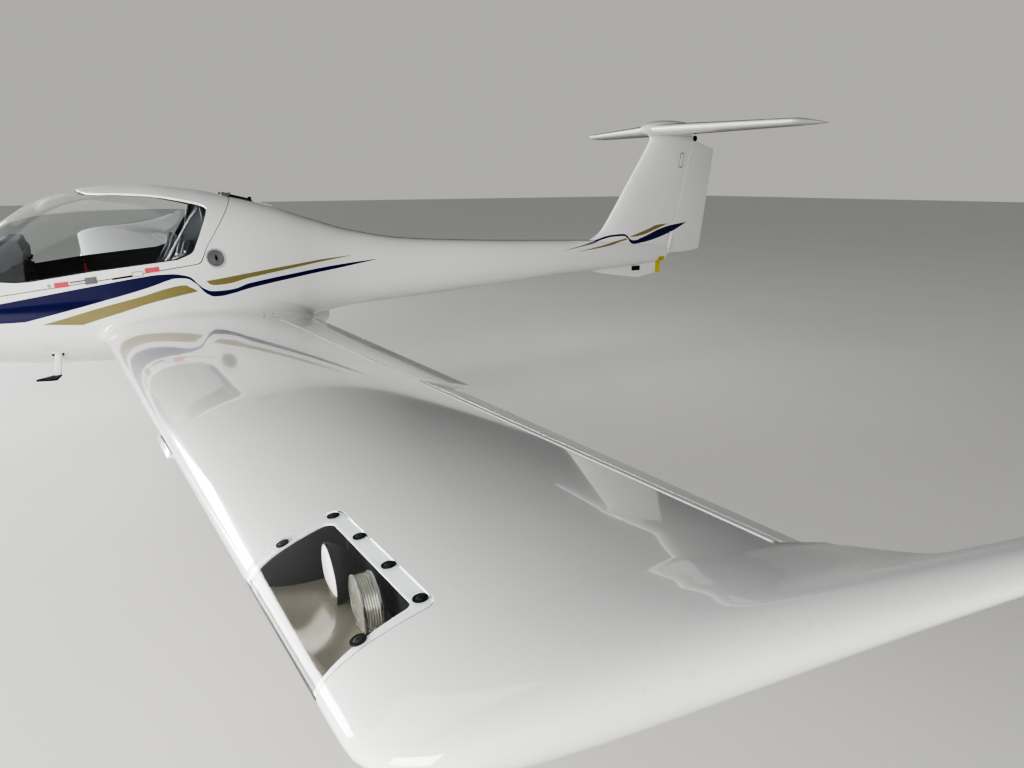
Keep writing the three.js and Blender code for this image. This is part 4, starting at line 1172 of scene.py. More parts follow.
# Root fairing: a hollow curve from the wing's skin up to the fuselage's side, all round the root
fairing = {"top": 70, "topAft": 120, "nose": 58, "bottom": 42, "tail": 150, "limit": 616, "foreLimit": 60,
           "around": 176, "fan": 0.12, "steps": 14, "proud": 0.9, "deep": 5}
rootScrews = [((-931, 533, 826), (-0.24, 0.41, 0.88)), ((-994, 523, 812), (-0.26, 0.29, 0.92)),
              ((-910, 640, 826), (-0.2, 0.1, 0.97))]


def fairingLine(share):
    # The corner between wing and fuselage at one place round the root, with the outward direction
    fan = fairing["fan"]
    if share < 1 - fan:
        angle = 0.02 + (2 * math.pi - 0.04) * share / (1 - fan)
    else:
        angle = 0.0
    y = 540.0
    for _ in range(14):
        x, _, z = wingPoint(straightRow(y), angle)
        y = 0.5 * (y + skinHalf(x, z))
    x, _, z = wingPoint(straightRow(y), angle)
    if share < 1 - fan:
        ahead = wingPoint(straightRow(y), angle + 0.01)
        behind = wingPoint(straightRow(y), angle - 0.01)
        direction = math.atan2(ahead[0] - behind[0], behind[2] - ahead[2])
        if math.sin(direction) * (1 if angle < math.pi else -1) < 0 and abs(math.sin(direction)) > 0.2:
            direction += math.pi
    else:
        turn = (share - 1 + fan) / fan
        direction = math.radians(-98 - 164 * turn)
    return angle, x, y, z, math.cos(direction), math.sin(direction)


def makeRootFairings():
    steps = fairing["steps"]

    def ring(share):
        angle, x, y, z, nx, nz = fairingLine(share)
        top = fairing["top"] + fairing["topAft"] * smoothStep(-x, 500, 1250)
        radius = nz * nz * (top if nz > 0 else fairing["bottom"])
        radius += nx * nx * (fairing["nose"] if nx > 0 else fairing["tail"])
        limit = fairing["limit"] + fairing["foreLimit"] * smoothStep(x, -900, -740)
        outer = min(y + radius, limit)
        wx, _, wz = wingPoint(straightRow(outer), angle)
        normal = Vector((nx, 0, nz))
        start = Vector((wx, outer, wz)) + normal * fairing["proud"]
        corner = Vector((x, y, z)) + normal * fairing["proud"] + Vector((0, fairing["proud"], 0))
        fx, fz = x + nx * radius, z + nz * radius
        end = Vector((fx, skinHalf(fx, fz) + fairing["proud"], fz))
        line = []
        for k in range(steps + 1):
            t = k / steps
            line.append(start * (1 - t) ** 2 + corner * 2 * t * (1 - t) + end * t * t)
        inward = Vector((0, -fairing["deep"], 0))
        line += [end + inward, corner + inward - normal * fairing["deep"], start - normal * fairing["deep"]]
        return line

    rings = {}

    def place(u, v):
        row = round(v * fairing["around"]) % fairing["around"]
        if row not in rings:
            rings[row] = ring(row / fairing["around"])
        line = rings[row]
        return at(*line[round(u * len(line)) % len(line)])

    dots = bmesh.new()
    for spot, normal in rootScrews:
        spot, normal = at(*spot), Vector(normal).normalized()
        rodMesh(dots, spot - normal * 0.003, spot + normal * 0.0008, 0.006, 0.0054, 20)
    finish(dots, "rootScrews", "greyTrim", "cabin_grey")
    left = asObject("rootFairing", tube(steps + 4, fairing["around"], place, capped=False))
    finish(mirrorOf(left), "rootFairing.right", "whitePaint", "white_paint")
    finish(left, "rootFairing.left", "whitePaint", "white_paint")
    print("root fairings made")


# Bright lip along the rear edge of the wing's upper skin, ahead of the flap and the aileron
lip = {"start": 859, "end": 4776, "wide": 4.6, "high": 2.5, "ahead": 20}


def makeLips():
    rows = []
    for k in range(60):
        y = lip["start"] + (lip["end"] - lip["start"]) * k / 59
        reach = wingShape["hingeChord"] - wingShape["hingeTaper"] * (y - 618) - lip["ahead"]
        angle = math.acos(2 * reach / chordAt(y) - 1)
        x, _, z = wingPoint(straightRow(y), angle)
        rows.append(((x, y, z - 0.3), lip["wide"], lip["high"]))
    left = limbSolid(rows, (1, 0, 0), 2, 14, 118)
    finish(mirrorOf(left), "rearLip.right", "whitePaint", "white_paint")
    finish(left, "rearLip.left", "whitePaint", "white_paint")
    print("rear lips made")


# Propeller: radius, half width, half thickness, twist in degrees
propeller = {"x": 1695, "height": 1075, "hub": 82, "disc": 118}
bladeRows = [(60, 34, 34, 50), (150, 46, 24, 46), (300, 66, 15, 36), (480, 70, 10, 27), (660, 62, 7, 21),
             (800, 48, 5, 18), (840, 34, 4, 17), (856, 17, 2.6, 17), (860, 5, 1.6, 17)]
spinnerLine = [(0, 246), (18, 243.5), (45, 236), (64, 222), (80, 205), (96, 179), (108, 150), (118, 116),
               (125, 80), (128.6, 40), (130, 0), (118.3, 0), (118.3, 60), (108, 116), (97, 145), (84, 172),
               (70, 195), (38, 224), (0, 232)]


def bladeSolid(turned):
    read = smoothTable(bladeRows)
    inner, outer = bladeRows[0][0], bladeRows[-1][0]

    def place(u, v):
        radius = inner + (outer - inner) * (1 - (1 - v) ** 1.5)
        half, thick, twist = read(radius)
        angle = 2 * math.pi * (u % 1)
        along = half * math.cos(angle)
        # Flat face behind and full back in front, away from the round root
        belly = 1 if radius < 180 or math.sin(angle) > 0 else 0.35
        across = thick * math.sin(angle) * belly
        turn = math.radians(twist)
        return at(propeller["x"] + along * math.sin(turn) + across * math.cos(turn),
                  turned * radius,
                  propeller["height"] + turned * (along * math.cos(turn) - across * math.sin(turn)))

    return asObject("blade", tube(48, 70, place))


def makePropeller():
    height = propeller["height"]
    hub = rodTool(at(1652, 0, height), at(1740, 0, height), mm(propeller["hub"]))
    disc = rodTool(at(1634, 0, height), at(1653, 0, height), mm(propeller["disc"]))
    blades = join(hub, disc, bladeSolid(1), bladeSolid(-1))
    blades = cut(blades, rodTool(at(1600, 0, height), at(1705, 0, height), 0.0206))
    finish(blades, "propeller", "propBlack", "propeller_black", ["propeller"], body="propeller_body")
    spinner = asObject("spinner", lathe(spinnerLine, at(1634, 0, height), (1, 0, 0), 96))
    for side in (1, -1):
        slot = roundOutline([(1640, height - 62, 30), (1752, height - 62, 30), (1752, height + 62, 30),
                             (1640, height + 62, 30)])
        spinner = cut(spinner, prism(slot, *sorted((side * 60, side * 170))))
    finish(spinner, "spinner", "whitePaint", "white_paint", ["spinner"], body="propeller_body")
    bm = bmesh.new()
    for k in range(10):
        angle = math.radians(36 * k + 18)
        outward = Vector((0, math.cos(angle), math.sin(angle)))
        place = at(1646, 0, height) + outward * mm(129.4)
        rodMesh(bm, place - outward * 0.003, place + outward * 0.001, 0.005, 0.0045, 16)
    finish(bm, "spinnerScrews", "brushedMetal", "steel", body="propeller_body")
    print("propeller and spinner made")


# Wheels: tyres with ribs, two-part rims with bolts, and brake discs on the main wheels
wheels = {
    "main": {"x": -470, "y": 950, "z": 180, "radius": 180, "width": 126, "grooves": (-27, -9, 9, 27)},
    "nose": {"x": 1310, "y": 0, "z": 168, "radius": 168, "width": 112, "grooves": (-20, 0, 20)},
    "rim": 76, "axle": 15.5, "bolts": 6, "groove": 4.5, "grooveWide": 3.2,
}


def tyreProfile(spec):
    half, rim, outer = spec["width"] / 2, wheels["rim"], spec["radius"]
    wall = outer - rim
    side = [(rim + 1.8, half * 0.72), (rim + 3, half * 0.80), (rim + wall * 0.12, half * 0.88),
            (rim + wall * 0.28, half * 0.97), (rim + wall * 0.45, half), (rim + wall * 0.62, half * 0.975),
            (rim + wall * 0.78, half * 0.89), (rim + wall * 0.9, half * 0.72),
            (rim + wall * 0.965, half * 0.55)]
    tread = []
    for groove in spec["grooves"]:
        for offset, depth in ((-wheels["grooveWide"], 0), (-wheels["grooveWide"] * 0.5, wheels["groove"]),
                            (wheels["grooveWide"] * 0.5, wheels["groove"]), (wheels["grooveWide"], 0)):
            across = groove + offset
            crown = outer - 3.2 * (across / (half * 0.55)) ** 2 - depth
            tread.append((crown, across))
    return ([(radius, -across) for radius, across in side] + [(outer - 3.6, -half * 0.5)] + tread
            + [(outer - 3.6, half * 0.5)] + [(radius, across) for radius, across in reversed(side)])


def rimProfile(spec):
    half = spec["width"] / 2
    flange, rim, bore = half * 0.78, wheels["rim"], wheels["axle"]
    return [(bore, -half * 0.7), (24, -half * 0.7), (29, -half * 0.66), (30, -20), (36, -11), (52, -9),
            (60, -13), (64, -26), (66, -flange + 5), (73, -flange + 1.5), (rim + 1.2, -flange - 1),
            (rim + 1.4, -flange + 2), (rim + 0.6, -flange + 8), (rim + 0.6, flange - 8),
            (rim + 1.4, flange - 2), (rim + 1.2, flange + 1), (73, flange - 1.5), (66, flange - 5), (64, 26),
            (60, 13), (52, 9), (36, 11), (30, 20), (29, half * 0.66), (24, half * 0.7), (bore, half * 0.7)]


def makeWheel(name, side):
    spec = wheels[name]
    middle = at(spec["x"], spec["y"] * side, spec["z"])
    body = "nose_wheel" if name == "nose" else "main_wheel_" + ("left" if side > 0 else "right")
    ending = "" if name == "nose" else "_left" if side > 0 else "_right"
    tyre = asObject("tyre", lathe(tyreProfile(spec), middle, (0, 1, 0), 112))
    finish(tyre, name + "Tyre" + ending, "tyreRubber", "tyre", [name + "_tyre" + ending], body=body, angle=24)
    rim = lathe(rimProfile(spec), middle, (0, 1, 0), 72)
    for k in range(wheels["bolts"]):
        angle = 2 * math.pi * k / wheels["bolts"]
        place = middle + Vector((math.cos(angle), 0, math.sin(angle))) * 0.045
        for out in (1, -1):
            rodMesh(rim, place + Vector((0, out * 0.0085, 0)), place + Vector((0, out * 0.016, 0)), 0.006,
                    segments=6)
    rimObject = asObject("rim", rim)
    for k in range(wheels["bolts"]):
        angle = 2 * math.pi * (k + 0.5) / wheels["bolts"]
        place = middle + Vector((math.cos(angle), 0, math.sin(angle))) * 0.047
        rimObject = cut(rimObject, rodTool(place - Vector((0, 0.03, 0)), place + Vector((0, 0.03, 0)), 0.0085,
                                           segments=24))
    finish(rimObject, name + "Rim" + ending, "gearPaint", "white_paint", [name + "_rim" + ending], body=body)
    if name == "main":
        disc = lathe([(30, -2.5), (84, -2.5), (85, -1.7), (85, 1.7), (84, 2.5), (30, 2.5)],
                     middle + Vector((0, -side * mm(71), 0)), (0, 1, 0), 80)
        copyInto(disc, lathe([(22, -71), (34, -71), (34, -48), (22, -48)], middle, (0, side, 0), 48))
        finish(disc, "brakeDisc" + ending, "brushedMetal", "steel", body=body)
    valve = bmesh.new()
    place = middle + Vector((0.055, side * 0.012, 0.03))
    rodMesh(valve, place, place + Vector((0.004, side * 0.026, 0.002)), 0.0035, 0.003, 12)
    finish(valve, "valve" + ending, "brushedMetal", "steel", body=body)


# Landing gear legs
gear = {"mainRows": [((-470, 874, 182), 40, 11), ((-470, 866, 186), 46, 12), ((-470, 790, 243), 50, 12.5),
                     ((-470, 720, 292), 52, 13), ((-470, 560, 381), 57, 14), ((-470, 420, 455), 62, 15),
                     ((-470, 250, 530), 66, 17), ((-470, 150, 560), 66, 17)],
        "noseRows": [((1401, 0, 436), 26, 26), ((1340, 0, 450), 28, 28), ((1275, 0, 468), 30, 30),
                     ((1160, 0, 505), 32, 32), ((1050, 0, 540), 34, 34), ((800, 0, 612), 38, 40)],
        "caster": 1405, "housing": (392, 474, 30), "brakeSlot": 4.2}


def makeMainLegs():
    y, z, x = wheels["main"]["y"], wheels["main"]["z"], wheels["main"]["x"]
    hullCut = hullSolid(0.3, 500, -1200, 72)
    leg = cut(limbSolid(gear["mainRows"], (1, 0, 0), 5, 40, 60), hullCut)
    axle = bmesh.new()
    rodMesh(axle, at(x, y - 86, z), at(x, y + 56, z), 0.0148, segments=40)
    rodMesh(axle, at(x, y - 90, z), at(x, y - 76, z), 0.034, segments=40)
    rodMesh(axle, at(x, y + 50, z), at(x, y + 61, z), 0.024, segments=6)
    rodMesh(axle, at(x, y + 59, z), at(x, y + 68, z), 0.008, segments=20)
    caliper = bmesh.new()
    slot = gear["brakeSlot"]
    for low, high in (((x - 98, y - 92, z + 6), (x - 44, y - 71 - slot, z + 62)),
                      ((x - 98, y - 71 + slot, z + 6), (x - 62, y - 64, z + 62))):
        block(caliper, (at(*high) + at(*low)) / 2, at(*high) - at(*low))
    bevelAll(caliper, 0.003)
    for height in (14, 54):
        rodMesh(caliper, at(x - 91, y - 98, z + height), at(x - 91, y - 60, z + height), 0.005, segments=12)
    bracket = boxTool((x - 70, y - 90, z - 14), (x + 10, y - 80, z + 34))
    line = limbSolid([((x - 71, y - 84, z + 60), 4, 4), ((x - 52, y - 98, z + 98), 4, 4),
                      ((x - 40, y - 190, z + 128), 4, 4), ((x - 50, 560, 352), 4, 4),
                      ((x - 60, 420, 428), 4, 4), ((x - 62, 300, 482), 4, 4)], (1, 0, 0), 2, 14, 60)
    pieces = ((leg, "mainLeg", "gearPaint", "white_paint"),
              (asObject("axle", axle), "mainAxle", "brushedMetal", "steel"),
              (asObject("caliper", caliper), "brakeCaliper", "blackTrim", "engine_metal"),
              (bracket, "brakeBracket", "brushedMetal", "steel"),
              (line, "brakeLine", "blackTrim", "cabin_black"))
    for side, label in sides:
        for piece, name, look, slotName in pieces:
            own = copyOf(piece) if side > 0 else mirrorOf(piece)
            finish(own, name + "." + label, look, slotName,
                   ["main_gear_leg_" + label] if piece is leg else ())
    for piece, *_ in pieces:
        bpy.data.objects.remove(piece)
    print("main legs made")


def makeNoseGear():
    low, high, radius = gear["housing"]
    x = gear["caster"]
    leg = limbSolid(gear["noseRows"], (0, 1, 0), 2, 40, 60)
    leg = join(leg, rodTool(at(x, 0, low), at(x, 0, high), mm(radius)))
    leg = cut(leg, hullSolid(0.3, 1580, 500, 72), rodTool(at(x, 0, 300), at(x, 0, 500), 0.0156))
    finish(leg, "noseLeg", "gearPaint", "white_paint", ["nose_gear_leg"])
    spec = wheels["nose"]
    axleX, z, width = spec["x"], spec["z"], spec["width"]
    fork = boxTool((x - 36, -width / 2, 366), (x + 34, width / 2, low - 0.4))
    bm = bmesh.new()
    bm.from_mesh(fork.data)
    bevelAll(bm, 0.006, 3)
    bm.to_mesh(fork.data)
    bm.free()
    for side in (1, -1):
        rows = [((axleX, side * (width / 2 + 16), z - 24), 20, 7),
                ((axleX + 2, side * (width / 2 + 16), z), 26, 8.5),
                ((axleX + 20, side * (width / 2 + 16), z + 60), 28, 9),
                ((x - 34, side * (width / 2 + 14), 340), 34, 10),
                ((x - 10, side * (width / 2 - 6), 370), 34, 10), ((x, side * 8, 380), 34, 8)]
        fork = join(fork, limbSolid(rows, (1, 0, 0), 4, 32, 44))
    finish(fork, "noseFork", "gearPaint", "white_paint", ["nose_fork"], body="caster")
    bm = bmesh.new()
    rodMesh(bm, at(x, 0, 372), at(x, 0, high + 6), 0.0149, segments=32)
    rodMesh(bm, at(x, 0, high + 0.4), at(x, 0, high + 14), 0.024, segments=6)
    rodMesh(bm, at(axleX, -width / 2 - 34, z), at(axleX, width / 2 + 34, z), 0.0148, segments=32)
    for side in (1, -1):
        rodMesh(bm, at(axleX, side * (width / 2 + 25), z), at(axleX, side * (width / 2 + 36), z), 0.02,
                segments=6)
    finish(bm, "noseAxle", "brushedMetal", "steel", body="caster")
    bm = lathe([(32, 0), (36, 2), (36, 10), (32, 12)], at(x, 0, high - 14), (0, 0, 1), 48)
    finish(bm, "casterCollar", "blackTrim", "steel")
    print("nose gear made")


# Small parts outside: ventral fin, entry steps, filler cap, hatch, exhaust
def makeOutside():
    hullCut = hullSolid(0.3, -3500, -4780, 72)
    ventral = prism([(-3860, 880), (-4060, 832), (-4472, 771, 30), (-4740, 812, 20), (-4740, 930)], -9, 9)
    finish(softEdges(cut(ventral, hullCut), 0.003), "ventralFin", "whitePaint", "white_paint",
           ["ventral_fin"])
    for side, label in sides:
        rows = [((243, side * 430, 702), 18, 9), ((245, side * 449, 668), 18, 9),
                ((253, side * 453, 610), 18, 9), ((260, side * 455, 556), 18.5, 9),
                ((261, side * 456, 545), 18.5, 9)]
        strut = cut(limbSolid(rows, (1, 0, 0), 3, 32, 30), hullSolid(0.3, 700, 0, 72))
        outline = [(240, 446, 4), (267, 560, 8), (300, 560, 10), (381, 533, 9), (286, 446, 6)]
        plate = softEdges(prism([(x, side * y, *r) for x, y, *r in outline], 536, 546, "plan"), 0.002)
        strut = cut(strut, boxTool((200, -600, 500), (400, 600, 546.1)))
        finish(strut, "step." + label, "whitePaint", "white_paint", ["step_" + label])
        outline = [(243, 468, 3), (268, 558, 7), (300, 558, 9), (377, 533, 7), (290, 468, 5)]
        grip = prism([(x, side * y, *r) for x, y, *r in outline], 546, 548, "plan")
        finish(join(softEdges(grip, 0.0006), plate), "stepTread." + label, "blackTrim", "cabin_black")
        place, normal = hullSide(244, 668, side)
        bm = bmesh.new()
        flat = facing(normal)
        block(bm, place, (0.064, 0.044, 0.005), flat)
        bevelAll(bm, 0.0015)
        bolts = bmesh.new()
        for a, b in ((-0.026, 0.0), (0.026, 0.0), (0.026, 0.014), (-0.026, 0.014)):
            spot = place + flat.to_3x3() @ Vector((a, b, 0))
            rodMesh(bolts, spot, spot + normal * 0.009, 0.0052, segments=6)
        finish(bm, "stepFlange." + label, "whitePaint", "white_paint")
        finish(bolts, "stepBolts." + label, "blackTrim", "steel")

    place, normal = hullSide(-676, 1186)
    ring = lathe([(53, -6), (53, 0.9), (54, 1.6), (61, 1.4), (64, 0.2), (64, -6)], place, normal, 72)
    finish(ring, "fillerRing", "coverSeat", "cabin_grey")
    profile = [(0, 1.6), (9, 1.6)]
    for k in range(9):
        profile += [(11 + k * 4.4, 1.6), (12.2 + k * 4.4, 0.7), (14.2 + k * 4.4, 0.7), (15.2 + k * 4.4, 1.6)]
    cap = lathe([*profile, (51.6, 1.2), (51.9, -5), (0, -5)], place, normal, 96)
    finish(cap, "fillerCap", "greyTrim", "engine_metal", ["fuel_filler_cap"])
    bm = bmesh.new()
    block(bm, place + normal * 0.0028, (0.007, 0.034, 0.0024), facing(normal))
    bevelAll(bm, 0.0008)
    rodMesh(bm, place + normal * 0.001, place + normal * 0.0052, 0.008, segments=28)
    finish(bm, "fillerLever", "blackTrim", "steel")

    hatch = keep(cut(hullSolid(5, -880, -1166, 96), hullSolid(0.4, -870, -1176, 96)),
                 boxTool((-1160, -38, 1300), (-884, 38, 1700)))
    finish(softEdges(hatch, 0.0015), "spineHatch", "whitePaint", "white_paint", ["spine_hatch"])
    top = at(-1017, 0, hullAt(-1017)[0] + 4)
    knob = lathe([(0, 22), (8, 21), (12, 17), (12, 8), (9, 2), (12, 0), (0, 0)], top, (0, 0, 1), 32)
    finish(knob, "spineKnob", "blackTrim", "cabin_black")
    seam = keep(cut(hullSolid(13, -866, -1140, 96), hullSolid(0.4, -870, -1150, 96)),
                boxTool((-1020, 38.6, 1300), (-866, 52, 1700)))
    finish(seam, "spineSeal", "blackTrim", "cabin_black")

    pipe = limbSolid([((950, -90, 860), 24, 24), ((950, -90, 740), 24, 24), ((945, -90, 640), 24, 24),
                      ((925, -90, 585), 24, 24)], (0, 1, 0), 2, 36, 40)
    bore = rodTool(at(925, -90, 560), at(941, -90, 640), 0.0215)
    finish(cut(pipe, boxTool((890, -250, 844.7), (1440, 250, 1130)), bore), "exhaust", "engineMetal",
           "engine_metal", ["exhaust_pipe"])
    print("small outside parts made")


def softEdges(piece, offset, segments=2, angle=30):
    bm = bmesh.new()
    bm.from_mesh(piece.data)
    bmesh.ops.remove_doubles(bm, verts=bm.verts, dist=1e-5)
    sharp = [edge for edge in bm.edges if edge.is_manifold and edge.calc_face_angle(0) > math.radians(angle)]
    bmesh.ops.bevel(bm, geom=sharp, offset=offset, segments=segments, profile=0.5, affect="EDGES",
                    material=-1, clamp_overlap=True)
    bm.to_mesh(piece.data)
    bm.free()
    return piece


# Cabin: trim that follows the hull's inside, cut to the outlines of the cabin nodes
cabin = {"front": 875, "back": -1200,
         "panel": [(350, 1010), (336, 1262, 10), (352, 1318, 12), (424, 1326, 60), (560, 1268, 80),
                   (690, 1195, 40), (868, 1182), (868, 1152), (500, 1150), (470, 1010)],
         "console": [(470, 470), (470, 1008), (404, 1008, 8), (342, 862, 20), (-296, 782, 14), (-296, 470)],
         "bulkhead": [(-600, 560), (-600, 900, 30), (-690, 1440, 8), (-702, 1440), (-614, 900, 30),
                      (-614, 560)],
         "lining": [(-566, 1085), (-562, 1190, 40), (-696, 1506), (-708, 1500), (-578, 1190, 40),
                    (-580, 1085)]}


def insideHull(piece, grow=-13.5):
    # Keeps what fits inside the closed hull
    return keep(piece, hullSolid(grow, cabin["front"], cabin["back"], 96))


def makePanel():
    body = insideHull(prism(cabin["panel"], -560, 560), -21)
    finish(softEdges(body, 0.004, 3), "instrumentPanel", "leather", "cabin_black", ["instrument_panel"])
    face = prism([(335.5, 1020), (324.5, 1250), (331, 1262), (340, 1262), (349, 1020)], -470, 470)
    face = insideHull(face, -34)
    dials = bmesh.new()
    glass = bmesh.new()
    tilt = Vector((-1, 0, -0.045)).normalized()
    rows = [(1205, (-380, -290, -200, 200, 290, 380)), (1112, (-380, -290, -200, 200, 290, 380))]
    for z, places in rows:
        for y in places:
            middle = at(333.5 - (z - 1020) * 0.048, y, z)
            ring = lathe([(30, 0), (38, 0), (39, 1), (38, 2.4), (34, 2.8), (31, 1.6)], middle, tilt, 40)
            copyInto(dials, ring)
            rodMesh(glass, middle - tilt * 0.001, middle + tilt * 0.0022, 0.0305, segments=40)
            hand = middle + tilt * 0.0028
            turn = 0.6 + 1.7 * y / 380 + z / 300
            rodMesh(dials, hand, hand + Vector((0, math.cos(turn), math.sin(turn))) * 0.022, 0.0012, 0.0005,
                    8)
            rodMesh(dials, hand - tilt * 0.001, hand + tilt * 0.002, 0.003, segments=12)
    for k in range(4):
        low = at(324.5 - 7 * k / 4, -95, 1222 - 44 * k)
        block(dials, low + Vector((0.0, 0.095, -0.018)), (0.010, 0.19, 0.036))
        for y in (-82, 82):
            knob = at(321 - 7 * k / 4, y, 1204 - 44 * k)
            rodMesh(dials, knob, knob + tilt * 0.018, 0.008, 0.007, 20)
    for side in (1, -1):
        for x, z in ((395, 1200), (520, 1210), (405, 1100)):
            place, _ = hullSide(x, z, side, -21)
            rodMesh(glass, place - Vector((0, side * 0.004, 0)), place + Vector((0, side * 0.0015, 0)), 0.005,
                    segments=16)
    finish(face, "panelFace", "blackTrim", "cabin_black")
    finish(dials, "dialRings", "blackTrim", "cabin_black")
    finish(glass, "dialFaces", "dialGlass", "cabin_black")
    print("instrument panel made")


def makeConsole():
    body = insideHull(prism(cabin["console"], -62, 62))
    finish(softEdges(body, 0.006, 3), "centerConsole", "greyTrim", "cabin_grey", ["center_console"])
    bm = bmesh.new()
    knobs = bmesh.new()
    for y, height, ball in ((-26, 70, bm), (0, 64, knobs), (26, 60, bm)):
        foot = at(300, y, 858)
        top = foot + Vector((0.02, 0, mm(height)))
        rodMesh(bm, foot, top, 0.0045, segments=16)
        bmesh.ops.create_uvsphere(ball, u_segments=24, v_segments=14, radius=0.014,
                                  matrix=Matrix.Translation(top))
    # Black strips at the levers paint the shade inside their slots
    slotShades = bmesh.new()
    for y in (-26, 0, 26):
        block(slotShades, at(306, y, 860), (0.11, 0.007, 0.014))
    finish(bm, "consoleLevers", "brushedMetal", "steel")
    finish(knobs, "consoleKnob", "redPlastic", "cabin_black")
    finish(slotShades, "consoleSlotShades", "blackTrim", "cabin_black")
    tubeRows = [((-120, 0, 786), 13, 13), ((-70, 0, 820), 13, 13), ((40, 0, 862), 14, 14),
                ((120, 0, 880), 15, 15)]
    finish(limbSolid(tubeRows, (0, 1, 0), 2, 24, 24), "brakeHandle", "blackTrim", "cabin_black")
    print("console made")


seats = {"middle": 285, "half": 215,
         "shell": [(190, 742), (190, 500), (165, 500), (165, 720), (-318, 692), (-318, 500), (-340, 500),
                   (-340, 700), (-560, 1290), (-540, 1300), (-315, 712)]}


def makeSeats():
    for side, label in sides:
        middle, half = side * seats["middle"], seats["half"]
        shell = insideHull(prism(seats["shell"], middle - half, middle + half))
        finish(shell, "seatShell." + label, "carpet", "cabin_grey", ["seat_" + label])
        base = cushion(label + "Base", [(-236, 742), (175, 752)], 92, middle)
        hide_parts("seat_pad_" + label)
        cushion(label + "Back", [(-372, 812), (-505, 1132)], 70, middle)
        bm = bmesh.new()
        for offset in (-92, 92):
            rows = [((-532, middle + offset, 1291), 24, 1.4), ((-520, middle + offset, 1284), 24, 1.4),
                    ((-494, middle + offset, 1214), 24, 1.4), ((-452, middle + offset, 1140), 24, 1.4),
                    ((-405, middle + offset * 0.9, 1020), 24, 1.4),
                    ((-320, middle + offset * 0.7, 872), 24, 1.4),
                    ((-240, middle + offset * 0.4, 838), 24, 1.4)]
            strap = limbSolid(rows, (0, 1, 0), 6, 12, 60)
            bm.from_mesh(strap.data)
            bpy.data.objects.remove(strap)
        block(bm, at(-236, middle, 842), (0.05, 0.062, 0.016))
        finish(bm, "belts." + label, "belt", "seat_cloth")
    print("seats made")


def swell(piece, voxel, cap):
    # A pad is remeshed and blown up as cloth, and no point may move further than the cap
    remesh = piece.modifiers.new("remesh", "REMESH")
    remesh.mode = "VOXEL"
    remesh.voxel_size = voxel
    mesh = asMesh(piece)
    piece.modifiers.clear()
    piece.data = mesh
    before = [vert.co.copy() for vert in piece.data.vertices]
    cloth = piece.modifiers.new("cloth", "CLOTH")
    cloth.settings.use_pressure = True
    cloth.settings.uniform_pressure_force = 4
    cloth.settings.effector_weights.gravity = 0
    for step in range(1, 21):
        bpy.context.scene.frame_set(step)
    mesh = asMesh(piece)
    piece.modifiers.clear()
    for vert, old in zip(mesh.vertices, before):
        move = vert.co - old
        if move.length > cap:
            vert.co = old + move * (cap / move.length)
    piece.data = mesh
    bpy.context.scene.frame_set(1)


cushionShape = {"voxel": 0.006, "cap": 0.012, "channels": (-0.5, 0.5), "depth": 4.5, "width": 0.035,
                "piping": 4}


def cushion(name, ends, thick, middle):
    # A padded slab between two points of the side view: crowned, with sewn channels and piping
    (startX, startZ), (endX, endZ) = ends
    start, end = Vector((startX, 0, startZ)), Vector((endX, 0, endZ))
    along = (end - start).normalized()
    up = Vector((0, 1, 0)).cross(along)
    if up.z < 0 or (abs(up.z) < 0.5 and up.x < 0):
        up.negate()
    length, half = (end - start).length / 2, seats["half"] - 16
    centre = (start + end) / 2 + up * thick * 0.36

    def placed(a, b, c):
        corner = 1 - 0.06 * abs(a * b) ** 4
        point = centre + along * (a * length * corner) + up * (thick / 2 * c)
        return at(point.x, middle + b * half * corner, point.z)

    bm = bmesh.new()
    bmesh.ops.create_cube(bm, size=2)
    bmesh.ops.subdivide_edges(bm, edges=bm.edges, cuts=15, use_grid_fill=True)
    for vert in bm.verts:
        a, b, c = vert.co
        crown = 0.55 + 0.3 * (1 - a ** 4) * (1 - b ** 4)
        vert.co = placed(a * (1 - 0.05 * abs(c)), b * (1 - 0.05 * abs(c)), c * crown)
    bmesh.ops.recalc_face_normals(bm, faces=bm.faces)
    made = asObject("cushion", bm)
    swell(made, cushionShape["voxel"], cushionShape["cap"])
    origin = at(centre.x, middle, centre.z)
    for vert in made.data.vertices:
        offset = (vert.co - origin) * 1000
        a, b, c = offset.dot(along) / length, offset.y / half, offset.dot(up)
        if c > 0:
            lines = sum(math.exp(-((b - groove) / cushionShape["width"]) ** 2)
                        for groove in cushionShape["channels"])
            lines += 0.8 * math.exp(-((a + 0.1) / cushionShape["width"]) ** 2)
            edge = max(0.0, 1 - max(abs(a), abs(b)) ** 6)
            vert.co -= up * mm(cushionShape["depth"] * lines * edge)
    finish(made, "cushion." + name, "seatCloth", "seat_cloth", angle=80)
    points = []
    for k in range(73):
        turn = 2 * math.pi * k / 72
        a, b = rounded(math.cos(turn), 9), rounded(math.sin(turn), 9)
        point = placed(a, b, 0.12)
        points.append(((point.x * 1000 - shift, point.y * 1000, point.z * 1000), cushionShape["piping"],
                       cushionShape["piping"]))
    piping = limbSolid(points, up, 2, 10, 200)
    finish(piping, "piping." + name, "belt", "seat_cloth")
    return made


